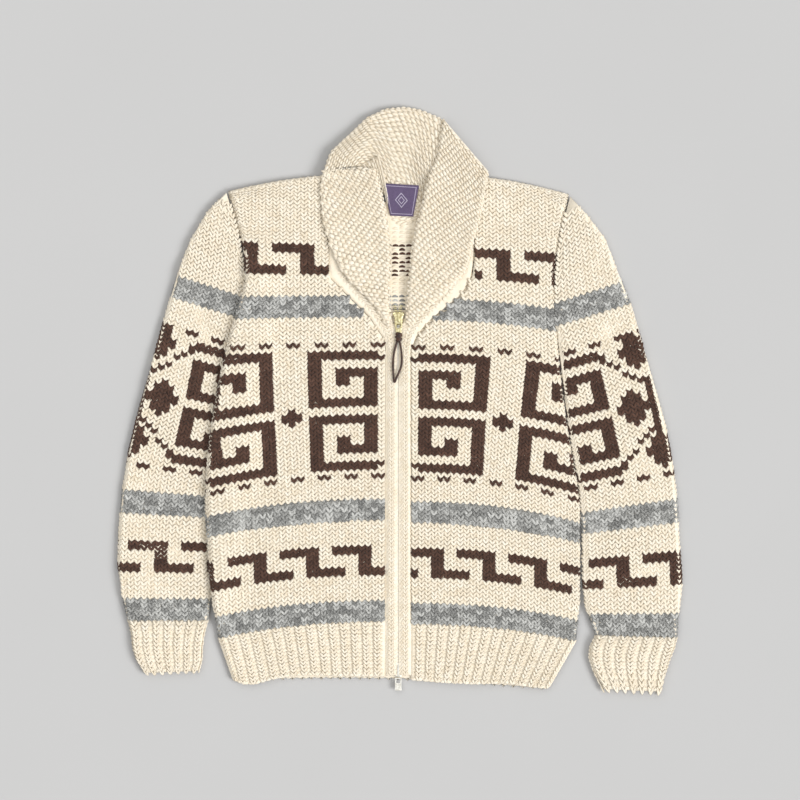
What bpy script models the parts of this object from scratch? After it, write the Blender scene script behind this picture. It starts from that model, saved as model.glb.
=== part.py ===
"""Cowichan cardigan lying flat, front up, zip closed: every knitted piece, the zip and the neck label.

Metres, +Z up. The garment lies on the plane Z = 0 with its collar towards +Y. The origin is on that
plane under the middle of the garment's box. "left" and "right" are the wearer's: left is at +X.
Tables are in millimetres. MM turns them into metres.
"""

import math

import bpy
import numpy as np

MM = 0.001

# Driving dimensions, in millimetres.
CLOTH = 5.0  # wall of the hand-knitted cloth
GAP = 0.3  # between pieces that are sewn to or lie on each other
BACK_Z = 0.0  # underside of the back
FRONT_Z = CLOTH + GAP  # underside of the fronts
SLEEVE_H = 2 * CLOTH + 0.6  # a sleeve pressed flat, both layers and the space between
LIFT = SLEEVE_H + GAP  # how far the right sleeve raises the body's edge
LIFT_START, LIFT_RAMP = 7.0, 42.0  # where that edge starts down again past the sleeve, and over what length
DROOP_POWER = 2.2  # how the courses fall away towards the sides
EDGE_DROP = 1.6  # how far the top face is lower at a panel's free edge
ZIP_X = -2.7  # centre line of the zip
BAND_T = 4.2  # knitted band that covers the zip
TAPE_T = 1.0
CHAIN_W, CHAIN_H = 6.0, 3.2
TAPE_W = 10.0
BAND_Z = FRONT_Z + TAPE_T + GAP
BAND_TOP = BAND_Z + BAND_T
FALL_Z = BAND_TOP + GAP  # underside of the collar's fall
WELT_T = 2.6  # pocket edge
WELT_TOP, WELT_H = -135.0, 27.0
POCKET_SHARES = {"right": (0.255, 0.79), "left": (0.206, 0.773)}  # ends of each, from the side edge
# Columns of each front from its side edge to its band, closer where the body rises over the sleeve.
COLUMNS = {
    "right": (0.0, 0.018, 0.10, 0.15, 0.20, 0.255, 0.31, 0.42, 0.52, 0.79, 0.97, 1.0),
    "left": (0.0, 0.018, 0.206, 0.42, 0.6, 0.773, 0.97, 1.0),
}
LABEL_T = 0.8

# Side edges of the body, from shoulder to hem: height y, x at the wearer's right, x at the left.
SIDES = (
    # y, right, left
    (310.0, -234.0, 231.0),
    (284.0, -234.0, 231.0),
    (230.0, -220.0, 218.5),
    (197.0, -211.5, 214.0),
    (163.0, -211.5, 212.0),
    (136.0, -218.0, 212.0),
    (95.0, -231.0, 212.0),
    (48.0, -242.5, 215.0),
    (0.0, -252.0, 220.0),
    (-54.0, -260.0, 228.5),
    (-109.0, -265.0, 239.0),
    (-136.0, -265.5, 243.0),
    (-218.0, -261.5, 245.5),
    (-272.0, -256.0, 245.0),
    (-330.0, -246.0, 239.0),
)

# Courses of the body: height at the zip, and how far each side edge lies below it.
COURSES = (
    # y, right, left
    (310.0, 26.0, 30.0),
    (285.0, 10.0, 17.0),
    (218.0, -8.0, 1.0),
    (141.0, 0.0, 12.0),
    (65.0, 6.0, 13.0),
    (-10.0, 9.0, 16.0),
    (-95.0, 16.0, 20.0),
    (-136.0, 23.0, 24.0),
    (-270.0, 24.0, 26.0),
    (-299.0, 23.0, 25.0),
)
TOP_COURSE, RIB_COURSE = 310.0, -299.0

# Hem: height of the ribbing's lower edge, from side to zip, as a share of the way.
HEM = {
    "right": ((0.0, -239.0, -384.0), (0.1, -218.0, -388.5), (0.2, -196.0, -387.0), (0.3, -172.0, -380.0),
              (0.45, -139.0, -376.5), (1.0, -20.7, -377.5)),
    "left": ((0.0, 202.0, -393.0), (0.12, 178.0, -391.0), (0.28, 145.0, -386.0), (0.5, 98.0, -387.0),
             (0.75, 52.0, -384.5), (1.0, 15.3, -381.0)),
}

# Neckline of each front: outer and inner edge of the knitted band, from the zip up to the shoulder.
NECKLINES = {
    # y, outer x, inner x
    "right": ((-400.0, -20.7, -3.0), (48.0, -20.7, -3.0), (68.0, -21.5, -5.5), (84.0, -26.0, -11.8),
              (98.0, -31.5, -16.0), (112.0, -40.0, -21.5), (126.0, -54.0, -32.0), (144.0, -72.5, -49.5),
              (168.0, -88.0, -69.0), (199.0, -92.0, -76.0), (312.0, -92.0, -76.0)),
    "left": ((-400.0, 15.3, -2.4), (48.0, 15.3, -2.4), (68.0, 16.0, 0.8), (84.0, 20.5, 6.8),
             (98.0, 31.0, 13.0), (112.0, 44.0, 22.0), (126.0, 62.0, 38.0), (144.0, 84.0, 59.0),
             (168.0, 97.0, 78.0), (199.0, 101.0, 85.0), (312.0, 101.0, 85.0)),
}
BACK_SHARE = 0.53  # columns of the back that are also the fronts'
BACK_HEM_RISE = 8.0
BACK_NECK_Y, BACK_NECK_RISE, BACK_NECK_X, BACK_NECK_HALF = 238.0, 64.0, 4.5, 96.5

# Sleeves: each row is a line across the flat sleeve, from its outer fold through its middle to its
# inner fold. The first lies along the armhole and the last meets the cuff.
SLEEVES = {
    # outer x, y, middle x, y, inner x, y
    "right": (
        (-236.5, 283.0, -215.5, 196.0, -201.0, 76.0),
        (-262.0, 258.0, -229.0, 170.0, -206.0, 62.0),
        (-286.0, 218.0, -248.0, 143.0, -211.0, 48.0),
        (-302.0, 177.0, -260.0, 110.0, -216.0, 32.0),
        (-318.0, 124.0, -270.0, 66.0, -219.0, 10.0),
        (-339.0, 50.0, -282.0, 6.0, -222.0, -28.0),
        (-355.0, -8.0, -292.0, -38.0, -227.0, -62.0),
        (-369.0, -63.0, -303.0, -84.0, -236.0, -101.0),
        (-378.0, -118.0, -311.0, -131.0, -244.0, -140.0),
        (-383.5, -173.0, -315.0, -180.0, -247.5, -185.0),
        (-385.0, -225.0, -317.0, -228.0, -250.0, -230.0),
        (-379.0, -267.0, -317.0, -268.5, -255.5, -269.0),
        (-371.5, -298.5, -315.0, -298.5, -259.5, -298.5),
    ),
    "left": (
        (231.9, 278.0, 215.3, 196.0, 212.9, 96.0),
        (254.0, 254.0, 233.0, 172.0, 215.0, 74.0),
        (280.0, 220.0, 249.0, 142.0, 217.5, 50.0),
        (295.0, 180.0, 258.0, 108.0, 220.0, 26.0),
        (316.0, 129.0, 271.0, 66.0, 223.5, -4.0),
        (332.0, 74.0, 280.0, 22.0, 227.5, -34.0),
        (347.0, 20.0, 291.0, -22.0, 233.0, -68.0),
        (362.0, -34.0, 301.0, -68.0, 239.5, -104.0),
        (372.0, -88.0, 308.0, -114.0, 244.5, -140.0),
        (378.5, -140.0, 312.0, -156.0, 246.0, -172.0),
        (381.0, -197.0, 314.0, -204.0, 246.5, -212.0),
        (385.0, -245.0, 316.0, -248.0, 247.0, -250.0),
        (382.0, -279.0, 316.0, -281.0, 251.0, -283.0),
        (377.5, -321.5, 321.0, -320.0, 265.0, -318.5),
    ),
}
CUFFS = {
    # outer x, y, inner x, y
    "right": ((-371.0, -299.2, -259.5, -299.2), (-366.0, -318.0, -265.0, -318.0), (-364.5, -336.0, -267.5, -336.0),
              (-359.0, -354.0, -268.0, -353.5), (-347.0, -372.5, -272.0, -369.5)),
    "left": ((377.5, -322.3, 264.5, -319.3), (374.0, -337.0, 257.0, -334.5), (367.0, -353.5, 255.5, -350.0),
             (362.0, -370.0, 261.0, -367.0), (355.0, -398.5, 274.5, -394.5)),
}

# Collar fronts, which lie folded: free edge, fold, and how far the under layer reaches back.
COLLAR_FRONTS = {
    # free x, y, fold x, y, under layer, wall
    "right": (
        (-106.0, 311.2, -33.0, 315.6, 36.0, 5.0),
        (-110.0, 287.0, -25.5, 288.0, 44.0, 5.0),
        (-106.0, 241.0, -16.5, 245.0, 52.0, 5.0),
        (-95.5, 207.0, -12.5, 211.0, 56.0, 5.0),
        (-83.0, 178.0, -11.8, 185.0, 48.0, 5.0),
        (-68.0, 159.0, -13.5, 166.0, 34.0, 5.0),
        (-54.0, 146.0, -14.5, 151.0, 24.0, 4.8),
        (-37.5, 129.5, -14.0, 136.0, 14.5, 4.4),
        (-25.5, 111.0, -12.6, 118.0, 4.5, 3.8),
        (-18.5, 97.0, -11.8, 102.5, 0.6, 3.0),
    ),
    "left": (
        (121.0, 309.0, 58.5, 382.0, 20.0, 5.0),
        (118.0, 290.0, 53.5, 354.0, 28.0, 5.0),
        (114.0, 265.0, 49.0, 330.0, 34.0, 5.0),
        (109.0, 240.0, 37.0, 299.0, 44.0, 5.0),
        (101.0, 214.0, 29.5, 265.0, 48.0, 5.0),
        (96.5, 193.0, 21.0, 237.0, 52.0, 5.0),
        (90.0, 174.0, 15.0, 204.0, 50.0, 5.0),
        (77.5, 159.0, 12.5, 180.0, 40.0, 5.0),
        (61.0, 143.0, 10.5, 158.0, 26.0, 4.8),
        (43.5, 128.0, 9.2, 139.0, 14.5, 4.4),
        (27.5, 113.0, 8.2, 122.5, 7.0, 3.8),
        (16.0, 98.5, 7.8, 104.0, 0.8, 3.0),
    ),
}

# Back of the collar: inner end, middle and fold of each line across it, and how high it rides there.
COLLAR_BACK = (
    # inner x, y, middle x, y, fold x, y, height
    (-31.0, 317.0, -68.0, 315.2, -103.5, 313.0, 5.3),
    (-25.5, 299.0, -63.0, 326.0, -95.0, 337.0, 3.4),
    (-20.5, 282.0, -51.0, 337.0, -72.0, 358.0, 1.2),
    (-16.0, 264.0, -33.0, 340.0, -43.5, 385.0, 0.0),
    (-9.5, 249.0, -9.5, 326.0, -20.0, 396.0, 0.0),
    (0.0, 243.5, 5.5, 326.0, 4.0, 398.5, 0.0),
    (9.0, 243.0, 19.0, 319.0, 28.5, 394.5, 0.0),
    (22.0, 245.2, 37.4, 297.0, 57.1, 383.4, 0.0),
)
COLLAR_BACK_LEG = 0.28  # share of each line that the under layer covers

# Zip, in the middle of the front.
ZIP_BOTTOM, ZIP_TOP = -356.7, 101.6
SLIDER = {"width": 17.0, "length": 18.0, "height": 5.6}
SLIDER_TOP_Y = 102.0  # lower end of the top slider
CROWN_H = 2.6
TEETH_LEN, TEETH_SPREAD = 9.0, 3.2
LINK = {"width": 11.5, "length": 13.0, "thick": 1.6, "hole": 5.6, "bar": 1.0}
PULL_PIVOT_Y = 104.5
THONG_W = 3.2
THONG = (
    # x, y from the middle of the knot, right strand then left strand
    (-2.6, -4.0), (-6.0, -15.0), (-7.6, -26.0), (-7.6, -41.0), (-7.0, -53.0), (-5.6, -62.0),
    (-2.0, -54.0), (2.4, -45.0), (4.2, -36.0), (4.2, -26.0), (3.2, -16.0), (1.0, -4.0),
)
KNOT_Y, KNOT_X = 85.3, -1.7
KNOT = {"width": 10.0, "length": 13.0, "height": 4.6}
BOTTOM_SLIDER = {"width": 8.6, "length": 19.0, "height": 3.2}
BOTTOM_SLIDER_Y = -357.0
BOTTOM_PULL = {"width": 10.5, "length": 16.6, "thick": 1.6}
BOTTOM_PIVOT_Y = -378.2
LABEL_CORNERS = ((-23.0, 294.5), (26.0, 291.5), (18.0, 249.0), (-13.5, 250.5))

CREAM = (0.80, 0.72, 0.58, 1.0)
GREY = (0.32, 0.33, 0.33, 1.0)
BRASS = (0.62, 0.47, 0.20, 1.0)
STEEL = (0.70, 0.70, 0.68, 1.0)
LEATHER = (0.09, 0.035, 0.02, 1.0)
PURPLE = (0.10, 0.06, 0.14, 1.0)
TAPE = (0.72, 0.66, 0.54, 1.0)


def finish(name: str, colour, roughness: float, metallic: float):
    material = bpy.data.materials.new(name)
    material.use_nodes = True
    shader = material.node_tree.nodes["Principled BSDF"]
    shader.inputs["Base Color"].default_value = colour
    shader.inputs["Roughness"].default_value = roughness
    shader.inputs["Metallic"].default_value = metallic
    return material


def smooth(value):
    """0 below 0, 1 above 1, and a soft step between."""
    value = np.clip(value, 0.0, 1.0)
    return value * value * (3.0 - 2.0 * value)


def read(table, value, column):
    """A column of a table at a value of its first column, whichever way the table runs."""
    rows = np.array(sorted(row for row in table), float)
    return np.interp(value, rows[:, 0], rows[:, column])


def add_solid(name: str, points, faces, material):
    """One named object from points in millimetres."""
    mesh = bpy.data.meshes.new(name)
    mesh.from_pydata([tuple(p * MM) for p in np.asarray(points, float)], [], faces)
    mesh.update()
    mesh.materials.append(material)
    solid = bpy.data.objects.new(name, mesh)
    bpy.context.scene.collection.objects.link(solid)
    return solid


def grid_faces(rows: int, columns: int, start: int, flip: bool, round_rows: bool = False):
    """Quads over a grid of points. round_rows closes each row on itself."""
    last = columns if round_rows else columns - 1
    faces = []
    for i in range(rows - 1):
        for j in range(last):
            k = (j + 1) % columns
            quad = (i * columns + j, (i + 1) * columns + j, (i + 1) * columns + k, i * columns + k)
            quad = tuple(start + corner for corner in quad)
            # A turned quad keeps its first corner, so both faces of a wall are split along one diagonal.
            faces.append((quad[0], *quad[:0:-1]) if flip else quad)
    return faces


def add_sheet(name: str, outside, inside, material):
    """A wall between two matching grids of points: its outer face and its inner face."""
    rows, columns = outside.shape[:2]
    count = rows * columns
    faces = grid_faces(rows, columns, 0, False) + grid_faces(rows, columns, count, True)
    top = [(0, j) for j in range(columns)]
    right = [(i, columns - 1) for i in range(1, rows)]
    bottom = [(rows - 1, j) for j in range(columns - 2, -1, -1)]
    left = [(i, 0) for i in range(rows - 2, 0, -1)]
    rim = [i * columns + j for i, j in top + right + bottom + left]
    for a, b in zip(rim, rim[1:] + rim[:1]):
        faces.append((a, b, count + b, count + a))
    points = np.concatenate([outside.reshape(-1, 3), inside.reshape(-1, 3)])
    return add_solid(name, points, faces, material)


def add_tube(name: str, outside, inside, material):
    """An open-ended tube between two grids whose rows are closed rings."""
    rows, columns = outside.shape[:2]
    count = rows * columns
    faces = grid_faces(rows, columns, 0, False, True) + grid_faces(rows, columns, count, True, True)
    for row, flip in ((0, False), (rows - 1, True)):
        for j in range(columns):
            a, b = row * columns + j, row * columns + (j + 1) % columns
            quad = (a, b, count + b, count + a)
            faces.append(quad[::-1] if flip else quad)
    points = np.concatenate([outside.reshape(-1, 3), inside.reshape(-1, 3)])
    return add_solid(name, points, faces, material)


def add_block(name: str, low, high, material, bevel: float = 0.0):
    """A box between two corners, with its upright and level edges bevelled."""
    low, high = np.array(low, float) * MM, np.array(high, float) * MM
    bpy.ops.mesh.primitive_cube_add(size=1.0)
    block = bpy.context.object
    block.name = name
    block.data.name = name
    for vertex in block.data.vertices:
        vertex.co = [low[a] + (vertex.co[a] + 0.5) * (high[a] - low[a]) for a in range(3)]
    if bevel:
        modifier = block.modifiers.new("edges", "BEVEL")
        modifier.width = bevel * MM
        modifier.segments = 2
        modifier.harden_normals = False
    block.data.materials.append(material)
    return block


def lift(x, y):
    """How far the right sleeve, tucked under the body, raises it at a point."""
    edge = read(SIDES, y, 1)
    inner = np.array([(row[5], row[4]) for row in SLEEVES["right"]], float)
    reach = np.interp(y, inner[::-1, 0], inner[::-1, 1])
    along = smooth((232.0 - y) / 44.0) * smooth((y + 321.0) / 48.0)
    reach = np.maximum(reach, edge)
    return LIFT * along * (1.0 - smooth((x - reach - LIFT_START) / LIFT_RAMP))


def course_point(side: str, course: float, share):
    """(x, y) on a front: share 0 is its side edge and 1 its band."""
    column = 1 if side == "right" else 2
    droop = read(COURSES, course, column)
    y = course - droop * (1.0 - share) ** DROOP_POWER
    outer = read(SIDES, course - droop, column)
    inner = read(NECKLINES[side], course, 1) + (-GAP if side == "right" else GAP)
    return outer + (inner - outer) * share, y


def hem_point(side: str, share):
    rows = np.array(HEM[side], float)
    return np.interp(share, rows[:, 0], rows[:, 1]), np.interp(share, rows[:, 0], rows[:, 2])


def wall(grid_xy, base, thickness, raised=True, soft_edges=(True, True, True, True)):
    """Outer and inner grids of a panel that lies flat. soft_edges are first and last row, then column."""
    xs, ys = grid_xy[..., 0], grid_xy[..., 1]
    low = base + (lift(xs, ys) if raised else np.zeros_like(xs))
    high = low + thickness
    drop = np.zeros_like(high)
    first_row, last_row, first_column, last_column = soft_edges
    if first_row:
        drop[0, :] = EDGE_DROP
    if last_row:
        drop[-1, :] = EDGE_DROP
    if first_column:
        drop[:, 0] = EDGE_DROP
    if last_column:
        drop[:, -1] = EDGE_DROP
    return np.dstack([xs, ys, high - drop]), np.dstack([xs, ys, low])


def front_courses():
    """Stations down a front: they pass through the neckline's own and the pocket edge's."""
    neck = [row[0] for row in NECKLINES["right"][1:-1]][::-1]
    return (TOP_COURSE, 306.0, 285.0, 245.0, *neck, 0.0, -45.0, -90.0, WELT_TOP, WELT_TOP - WELT_H,
            -208.0, -254.0, RIB_COURSE)


def add_front(side: str, material):
    rows = []
    for course in front_courses():
        row = [course_point(side, course, share) for share in COLUMNS[side]]
        rows.append(row if side == "right" else row[::-1])
    grid = np.array(rows, float)
    return add_sheet(f"front_{side}", *wall(grid, FRONT_Z, CLOTH), material)


def add_front_rib(side: str, material):
    rows = []
    for part in (0.0, 0.06, 0.5, 0.94, 1.0):
        row = []
        for share in COLUMNS[side]:
            top = np.array(course_point(side, RIB_COURSE, share)) - (0.0, GAP)
            bottom = np.array(hem_point(side, share))
            row.append(top + (bottom - top) * part)
        rows.append(row if side == "right" else row[::-1])
    grid = np.array(rows, float)
    return add_sheet(f"hem_rib_{side}", *wall(grid, FRONT_Z, CLOTH), material)


def back_row(course: float):
    """A course of the back: the fronts' own points near the sides and evenly spaced ones between."""
    right = [course_point("right", course, share) for share in COLUMNS["right"] if share <= BACK_SHARE]
    left = [course_point("left", course, share) for share in COLUMNS["left"] if share <= BACK_SHARE]
    start, end = np.array(right[-1]), np.array(left[-1])
    middle = np.array((ZIP_X, course))
    row = right
    for share in (0.33, 0.66):
        x = start[0] + (middle[0] - start[0]) * share
        row.append((x, middle[1] + (start[1] - middle[1]) * (1.0 - share) ** DROOP_POWER))
    row.append(tuple(middle))
    for share in (0.33, 0.66):
        x = middle[0] + (end[0] - middle[0]) * share
        row.append((x, middle[1] + (end[1] - middle[1]) * share ** DROOP_POWER))
    return row + left[::-1]


def neck_y(x: float) -> float:
    """Height of the back's neckline."""
    part = abs(x - BACK_NECK_X) / BACK_NECK_HALF
    return BACK_NECK_Y + BACK_NECK_RISE * min(part, 1.4) ** 2.4


def add_back(material):
    rows = []
    for course in front_courses():
        rows.append(back_row(course))
    grid = np.array(rows, float)
    # The courses above the neckline's lowest point are pressed down below its curve.
    shoulder = grid[0, :, 1].copy()
    top = np.minimum(shoulder, [neck_y(x) for x in grid[0, :, 0]])
    high = sum(course > 199.0 for course in front_courses())
    foot = grid[high, :, 1]
    for i in range(high):
        part = (grid[i, :, 1] - foot) / (shoulder - foot)
        grid[i, :, 1] = foot + (top - foot) * part
    return add_sheet("back", *wall(grid, BACK_Z, CLOTH), material)


def add_back_rib(material):
    top = np.array(back_row(RIB_COURSE)) - (0.0, GAP)
    start, end = np.array(hem_point("right", 0.0)), np.array(hem_point("left", 0.0))
    share = (top[:, 0] - top[0, 0]) / (top[-1, 0] - top[0, 0])
    bottom = start + (end - start) * share[:, None]
    bottom[:, 1] += BACK_HEM_RISE * np.sin(math.pi * share)
    rows = [top + (bottom - top) * part for part in (0.0, 0.06, 0.5, 0.94, 1.0)]
    return add_sheet("hem_rib_back", *wall(np.array(rows), BACK_Z, CLOTH), material)


def flat_ring(outer, middle, inner, height: float, shell: float):
    """Outer and inner ring of a tube pressed flat along a line through three points."""
    outer, middle, inner = (np.array(p, float) for p in (outer, middle, inner))
    bend = 4.0 * middle - 2.0 * (outer + inner)
    width = float(np.hypot(*(inner - outer)))

    def at(share, z):
        flat = outer + (inner - outer) * share + bend * share * (1.0 - share)
        return (*flat, z)

    half = height / 2
    rings = []
    for inset, radius in ((0.0, half), (shell, half - shell)):
        ring = []
        ends = [math.pi * (0.5 - i / 4) for i in range(5)]
        for angle in ends:
            reach = inset + radius - radius * math.cos(angle)
            ring.append(at(reach / width, half + radius * math.sin(angle)))
        for share in (0.25, 0.5, 0.75):
            ring.append(at(share, half - radius))
        for angle in ends[::-1]:
            reach = inset + radius - radius * math.cos(angle)
            ring.append(at(1.0 - reach / width, half + radius * math.sin(angle)))
        for share in (0.75, 0.5, 0.25):
            ring.append(at(share, half + radius))
        rings.append(ring)
    return rings


def add_flat_tube(name: str, lines, turn: bool, material):
    """A sleeve or cuff pressed flat. turn is for the side whose outer fold is at +X."""
    rings = [flat_ring(line[0:2], line[2:4], line[4:6], SLEEVE_H, CLOTH) for line in lines]
    outside = np.array([ring[0] for ring in rings], float)
    inside = np.array([ring[1] for ring in rings], float)
    if turn:
        outside, inside = outside[:, ::-1], inside[:, ::-1]
    # Rings run round the tube so that their quads face outwards.
    return add_tube(name, outside[:, ::-1], inside[:, ::-1], material)


def band_courses():
    neck = [row[0] for row in NECKLINES["right"][1:-1]]
    return (-376.0, -374.5, *neck, 302.0, 304.0)


def add_band(side: str, material):
    """The knitted band over the zip and round the neckline, raised over the zip's tape and chain."""
    across = (0.0, 0.09, 0.35, 0.62, 0.74, 0.94, 1.0)
    ends = band_courses()[0], band_courses()[-1]
    outside, inside = [], []
    for y in band_courses():
        start, end = read(NECKLINES[side], y, 1), read(NECKLINES[side], y, 2)
        base = BAND_Z - (BAND_Z - FRONT_Z) * smooth((y - 112.0) / 20.0)
        over_chain = base + (CHAIN_H - TAPE_T) * (1.0 - smooth((y - 84.0) / 14.0))
        high_row, low_row = [], []
        for share in across:
            x = start + (end - start) * share
            drop = 1.0 if share in (0.0, 1.0) or y in ends else 0.0
            high_row.append((x, y, base + BAND_T - drop))
            low_row.append((x, y, over_chain if share > 0.7 else base))
        outside.append(high_row)
        inside.append(low_row)
    outside, inside = np.array(outside[::-1], float), np.array(inside[::-1], float)
    if side == "left":
        outside, inside = outside[:, ::-1], inside[:, ::-1]
    return add_sheet(f"zip_band_{side}", outside, inside, material)


def folded_line(free, fold, under: float, base: float, fall: float, thickness: float, bend=(0.0, 0.0)):
    """Outer and inner points of a strip folded over: from its free edge over the fold to the under layer."""
    free, fold, bend = np.array(free, float), np.array(fold, float), np.array(bend, float)
    width = float(np.hypot(*(fold - free)))
    top = fall + thickness
    radius = (top - base) / 2
    middle = (top + base) / 2
    outside, inside = [], []

    def at(distance, z):
        share = distance / width
        return (*(free + (fold - free) * share + bend * share * (1.0 - share)), z)

    straight = width - radius
    for share in (0.0, 0.06, 0.35, 0.65, 0.9):
        drop = EDGE_DROP if share == 0.0 else 0.0
        outside.append(at(straight * share, top - drop))
        inside.append(at(straight * share, fall))
    small = radius - thickness
    for step in range(7):
        angle = math.pi * (0.5 - step / 6)
        outside.append(at(straight + radius * math.cos(angle), middle + radius * math.sin(angle)))
        inside.append(at(straight + small * math.cos(angle), middle + small * math.sin(angle)))
    for share in (0.5, 1.0):
        outside.append(at(straight - under * share, base))
        inside.append(at(straight - under * share, base + thickness))
    return outside, inside


def add_collar_front(side: str, material):
    rows = COLLAR_FRONTS[side]
    outside, inside = [], []
    for free_x, free_y, fold_x, fold_y, under, thickness in rows:
        base = FRONT_Z + (BAND_Z - FRONT_Z) * (1.0 - smooth((fold_y - 124.0) / 20.0))
        width = math.hypot(fold_x - free_x, fold_y - free_y)
        radius = (FALL_Z + thickness - base) / 2
        under = min(under, width - radius - 0.5)
        line = folded_line((free_x, free_y), (fold_x, fold_y), max(under, 0.6), base, FALL_Z, thickness)
        outside.append(line[0])
        inside.append(line[1])
    outside, inside = np.array(outside, float), np.array(inside, float)
    if side == "left":
        outside, inside = outside[:, ::-1], inside[:, ::-1]
    return add_sheet(f"collar_{side}", outside, inside, material)


def add_collar_back(material):
    """The part of the collar behind the neck: it rises from the back's neckline and folds over."""
    outside, inside = [], []
    radius = CLOTH + 0.4
    for inner_x, inner_y, mid_x, mid_y, fold_x, fold_y, height in COLLAR_BACK:
        inner, mid, fold = (np.array(p, float) for p in ((inner_x, inner_y), (mid_x, mid_y), (fold_x, fold_y)))
        bend = 4.0 * mid - 2.0 * (inner + fold)
        width = float(np.hypot(*(fold - inner)))
        straight = width - radius
        leg = COLLAR_BACK_LEG * width

        def at(distance, z):
            share = distance / width
            return (*(inner + (fold - inner) * share + bend * share * (1.0 - share)), z)

        out_row, in_row = [], []
        for share in (0.0, 0.04, 0.2, 0.36, 0.5, 0.62, 0.74, 0.9):
            rise = smooth((straight * share - (straight - leg - 34.0)) / 30.0)
            low = height + (2 * radius - CLOTH) * rise
            drop = EDGE_DROP if share == 0.0 else 0.0
            out_row.append(at(straight * share, low + CLOTH - drop))
            in_row.append(at(straight * share, low))
        for step in range(7):
            angle = math.pi * (0.5 - step / 6)
            small = radius - CLOTH
            out_row.append(at(straight + radius * math.cos(angle), height + radius + radius * math.sin(angle)))
            in_row.append(at(straight + small * math.cos(angle), height + radius + small * math.sin(angle)))
        for share in (0.5, 1.0):
            out_row.append(at(straight - leg * share, height))
            in_row.append(at(straight - leg * share, height + CLOTH))
        outside.append(out_row)
        inside.append(in_row)
    return add_sheet("collar_back", np.array(outside, float), np.array(inside, float), material)


def add_pocket_edge(side: str, material):
    """The grey knitted edge of a pocket's mouth, which lies on the front."""
    first, last = POCKET_SHARES[side]
    shares = [share for share in COLUMNS[side] if first <= share <= last]
    rows = []
    for down in (0.0, 0.1, 0.5, 0.92, 1.0):
        row = [course_point(side, WELT_TOP - WELT_H * down, share) for share in shares]
        rows.append(row if side == "right" else row[::-1])
    return add_sheet(f"pocket_{side}", *wall(np.array(rows, float), FRONT_Z + CLOTH + GAP, WELT_T), material)


def add_neck_label(material):
    """The woven label, on the inside of the collar behind the neck."""
    corners = [np.array(c, float) for c in LABEL_CORNERS]
    rows = []
    for down in np.linspace(0.0, 1.0, 5):
        start = corners[0] + (corners[3] - corners[0]) * down
        end = corners[1] + (corners[2] - corners[1]) * down
        rows.append([start + (end - start) * part for part in (0.0, 0.5, 1.0)])
    grid = np.array(rows, float)
    low = np.full(grid.shape[:2], CLOTH + GAP)
    top = np.dstack([grid[..., 0], grid[..., 1], low + LABEL_T])
    return add_sheet("neck_label", top, np.dstack([grid[..., 0], grid[..., 1], low]), material)


def add_tape(side: str, material):
    sign = -1.0 if side == "right" else 1.0
    near = ZIP_X + sign * (CHAIN_W / 2 + GAP)
    far = near + sign * TAPE_W
    low = (min(near, far), ZIP_BOTTOM, FRONT_Z)
    high = (max(near, far), ZIP_TOP, FRONT_Z + TAPE_T)
    return add_block(f"zip_tape_{side}", low, high, material)


def add_chain(material):
    low = (ZIP_X - CHAIN_W / 2, ZIP_BOTTOM, FRONT_Z)
    high = (ZIP_X + CHAIN_W / 2, ZIP_TOP, FRONT_Z + CHAIN_H)
    return add_block("zip_chain", low, high, material, 0.4)


def add_open_teeth(side: str, material):
    """The zip's teeth above the top slider, where its two halves part."""
    sign = -1.0 if side == "right" else 1.0
    foot = SLIDER_TOP_Y + SLIDER["length"] + GAP
    rows = []
    for y, spread in ((foot + TEETH_LEN, TEETH_SPREAD), (foot, 0.0)):
        near = ZIP_X + sign * (0.6 + spread)
        rows.append([(x, y) for x in sorted((near, near + sign * CHAIN_W / 2))])
    grid = np.array(rows, float)
    base = np.full(grid.shape[:2], FRONT_Z)
    top = np.dstack([grid[..., 0], grid[..., 1], base + CHAIN_H])
    return add_sheet(f"zip_teeth_{side}", top, np.dstack([grid[..., 0], grid[..., 1], base]), material)


def join(solid, others):
    """Union of a solid with others that overlap it."""
    for other in others:
        modifier = solid.modifiers.new("union", "BOOLEAN")
        modifier.operation = "UNION"
        modifier.solver = "EXACT"
        modifier.object = other
        other.hide_render = True
        other.display_type = "WIRE"
    return solid


def add_slider(material):
    """Body of the top slider, with the crown that holds the pull."""
    half = SLIDER["width"] / 2
    low = (ZIP_X + 0.7 - half, SLIDER_TOP_Y, FRONT_Z)
    high = (ZIP_X + 0.7 + half, SLIDER_TOP_Y + SLIDER["length"], FRONT_Z + SLIDER["height"])
    body = add_block("slider_top", low, high, material, 1.2)
    top = FRONT_Z + SLIDER["height"]
    crown = add_block("slider_crown_part", (ZIP_X - 1.1, PULL_PIVOT_Y + 2.0, top - 1.0),
                      (ZIP_X + 2.5, PULL_PIVOT_Y + 10.6, top + CROWN_H), material, 0.8)
    return join(body, [crown])


def add_pull_link(pivot, material):
    """The flat metal link, a frame that turns about its cross bar and passes over the crown."""
    x = ZIP_X + 0.7
    half = LINK["width"] / 2
    z = FRONT_Z + SLIDER["height"] + GAP
    top_y = PULL_PIVOT_Y + LINK["bar"] / 2
    low = (x - half, top_y - LINK["length"], z)
    link = add_block("pull_link", low, (x + half, top_y, z + LINK["thick"]), material, 0.3)
    hole = LINK["hole"] / 2
    cutter = add_block("pull_link_cutter", (x - hole, top_y - LINK["length"] + 3.0, z - 1.0),
                       (x + hole, top_y - LINK["bar"], z + LINK["thick"] + 1.0), material)
    cutter.hide_render = True
    cutter.display_type = "WIRE"
    modifier = link.modifiers.new("hole", "BOOLEAN")
    modifier.operation = "DIFFERENCE"
    modifier.object = cutter
    hang_on(link, pivot)
    hang_on(cutter, pivot)
    return link


def hang_on(solid, pivot):
    """Parent a solid to its pivot and leave it where it is."""
    solid.parent = pivot
    solid.matrix_parent_inverse = pivot.matrix_world.inverted()


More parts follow.
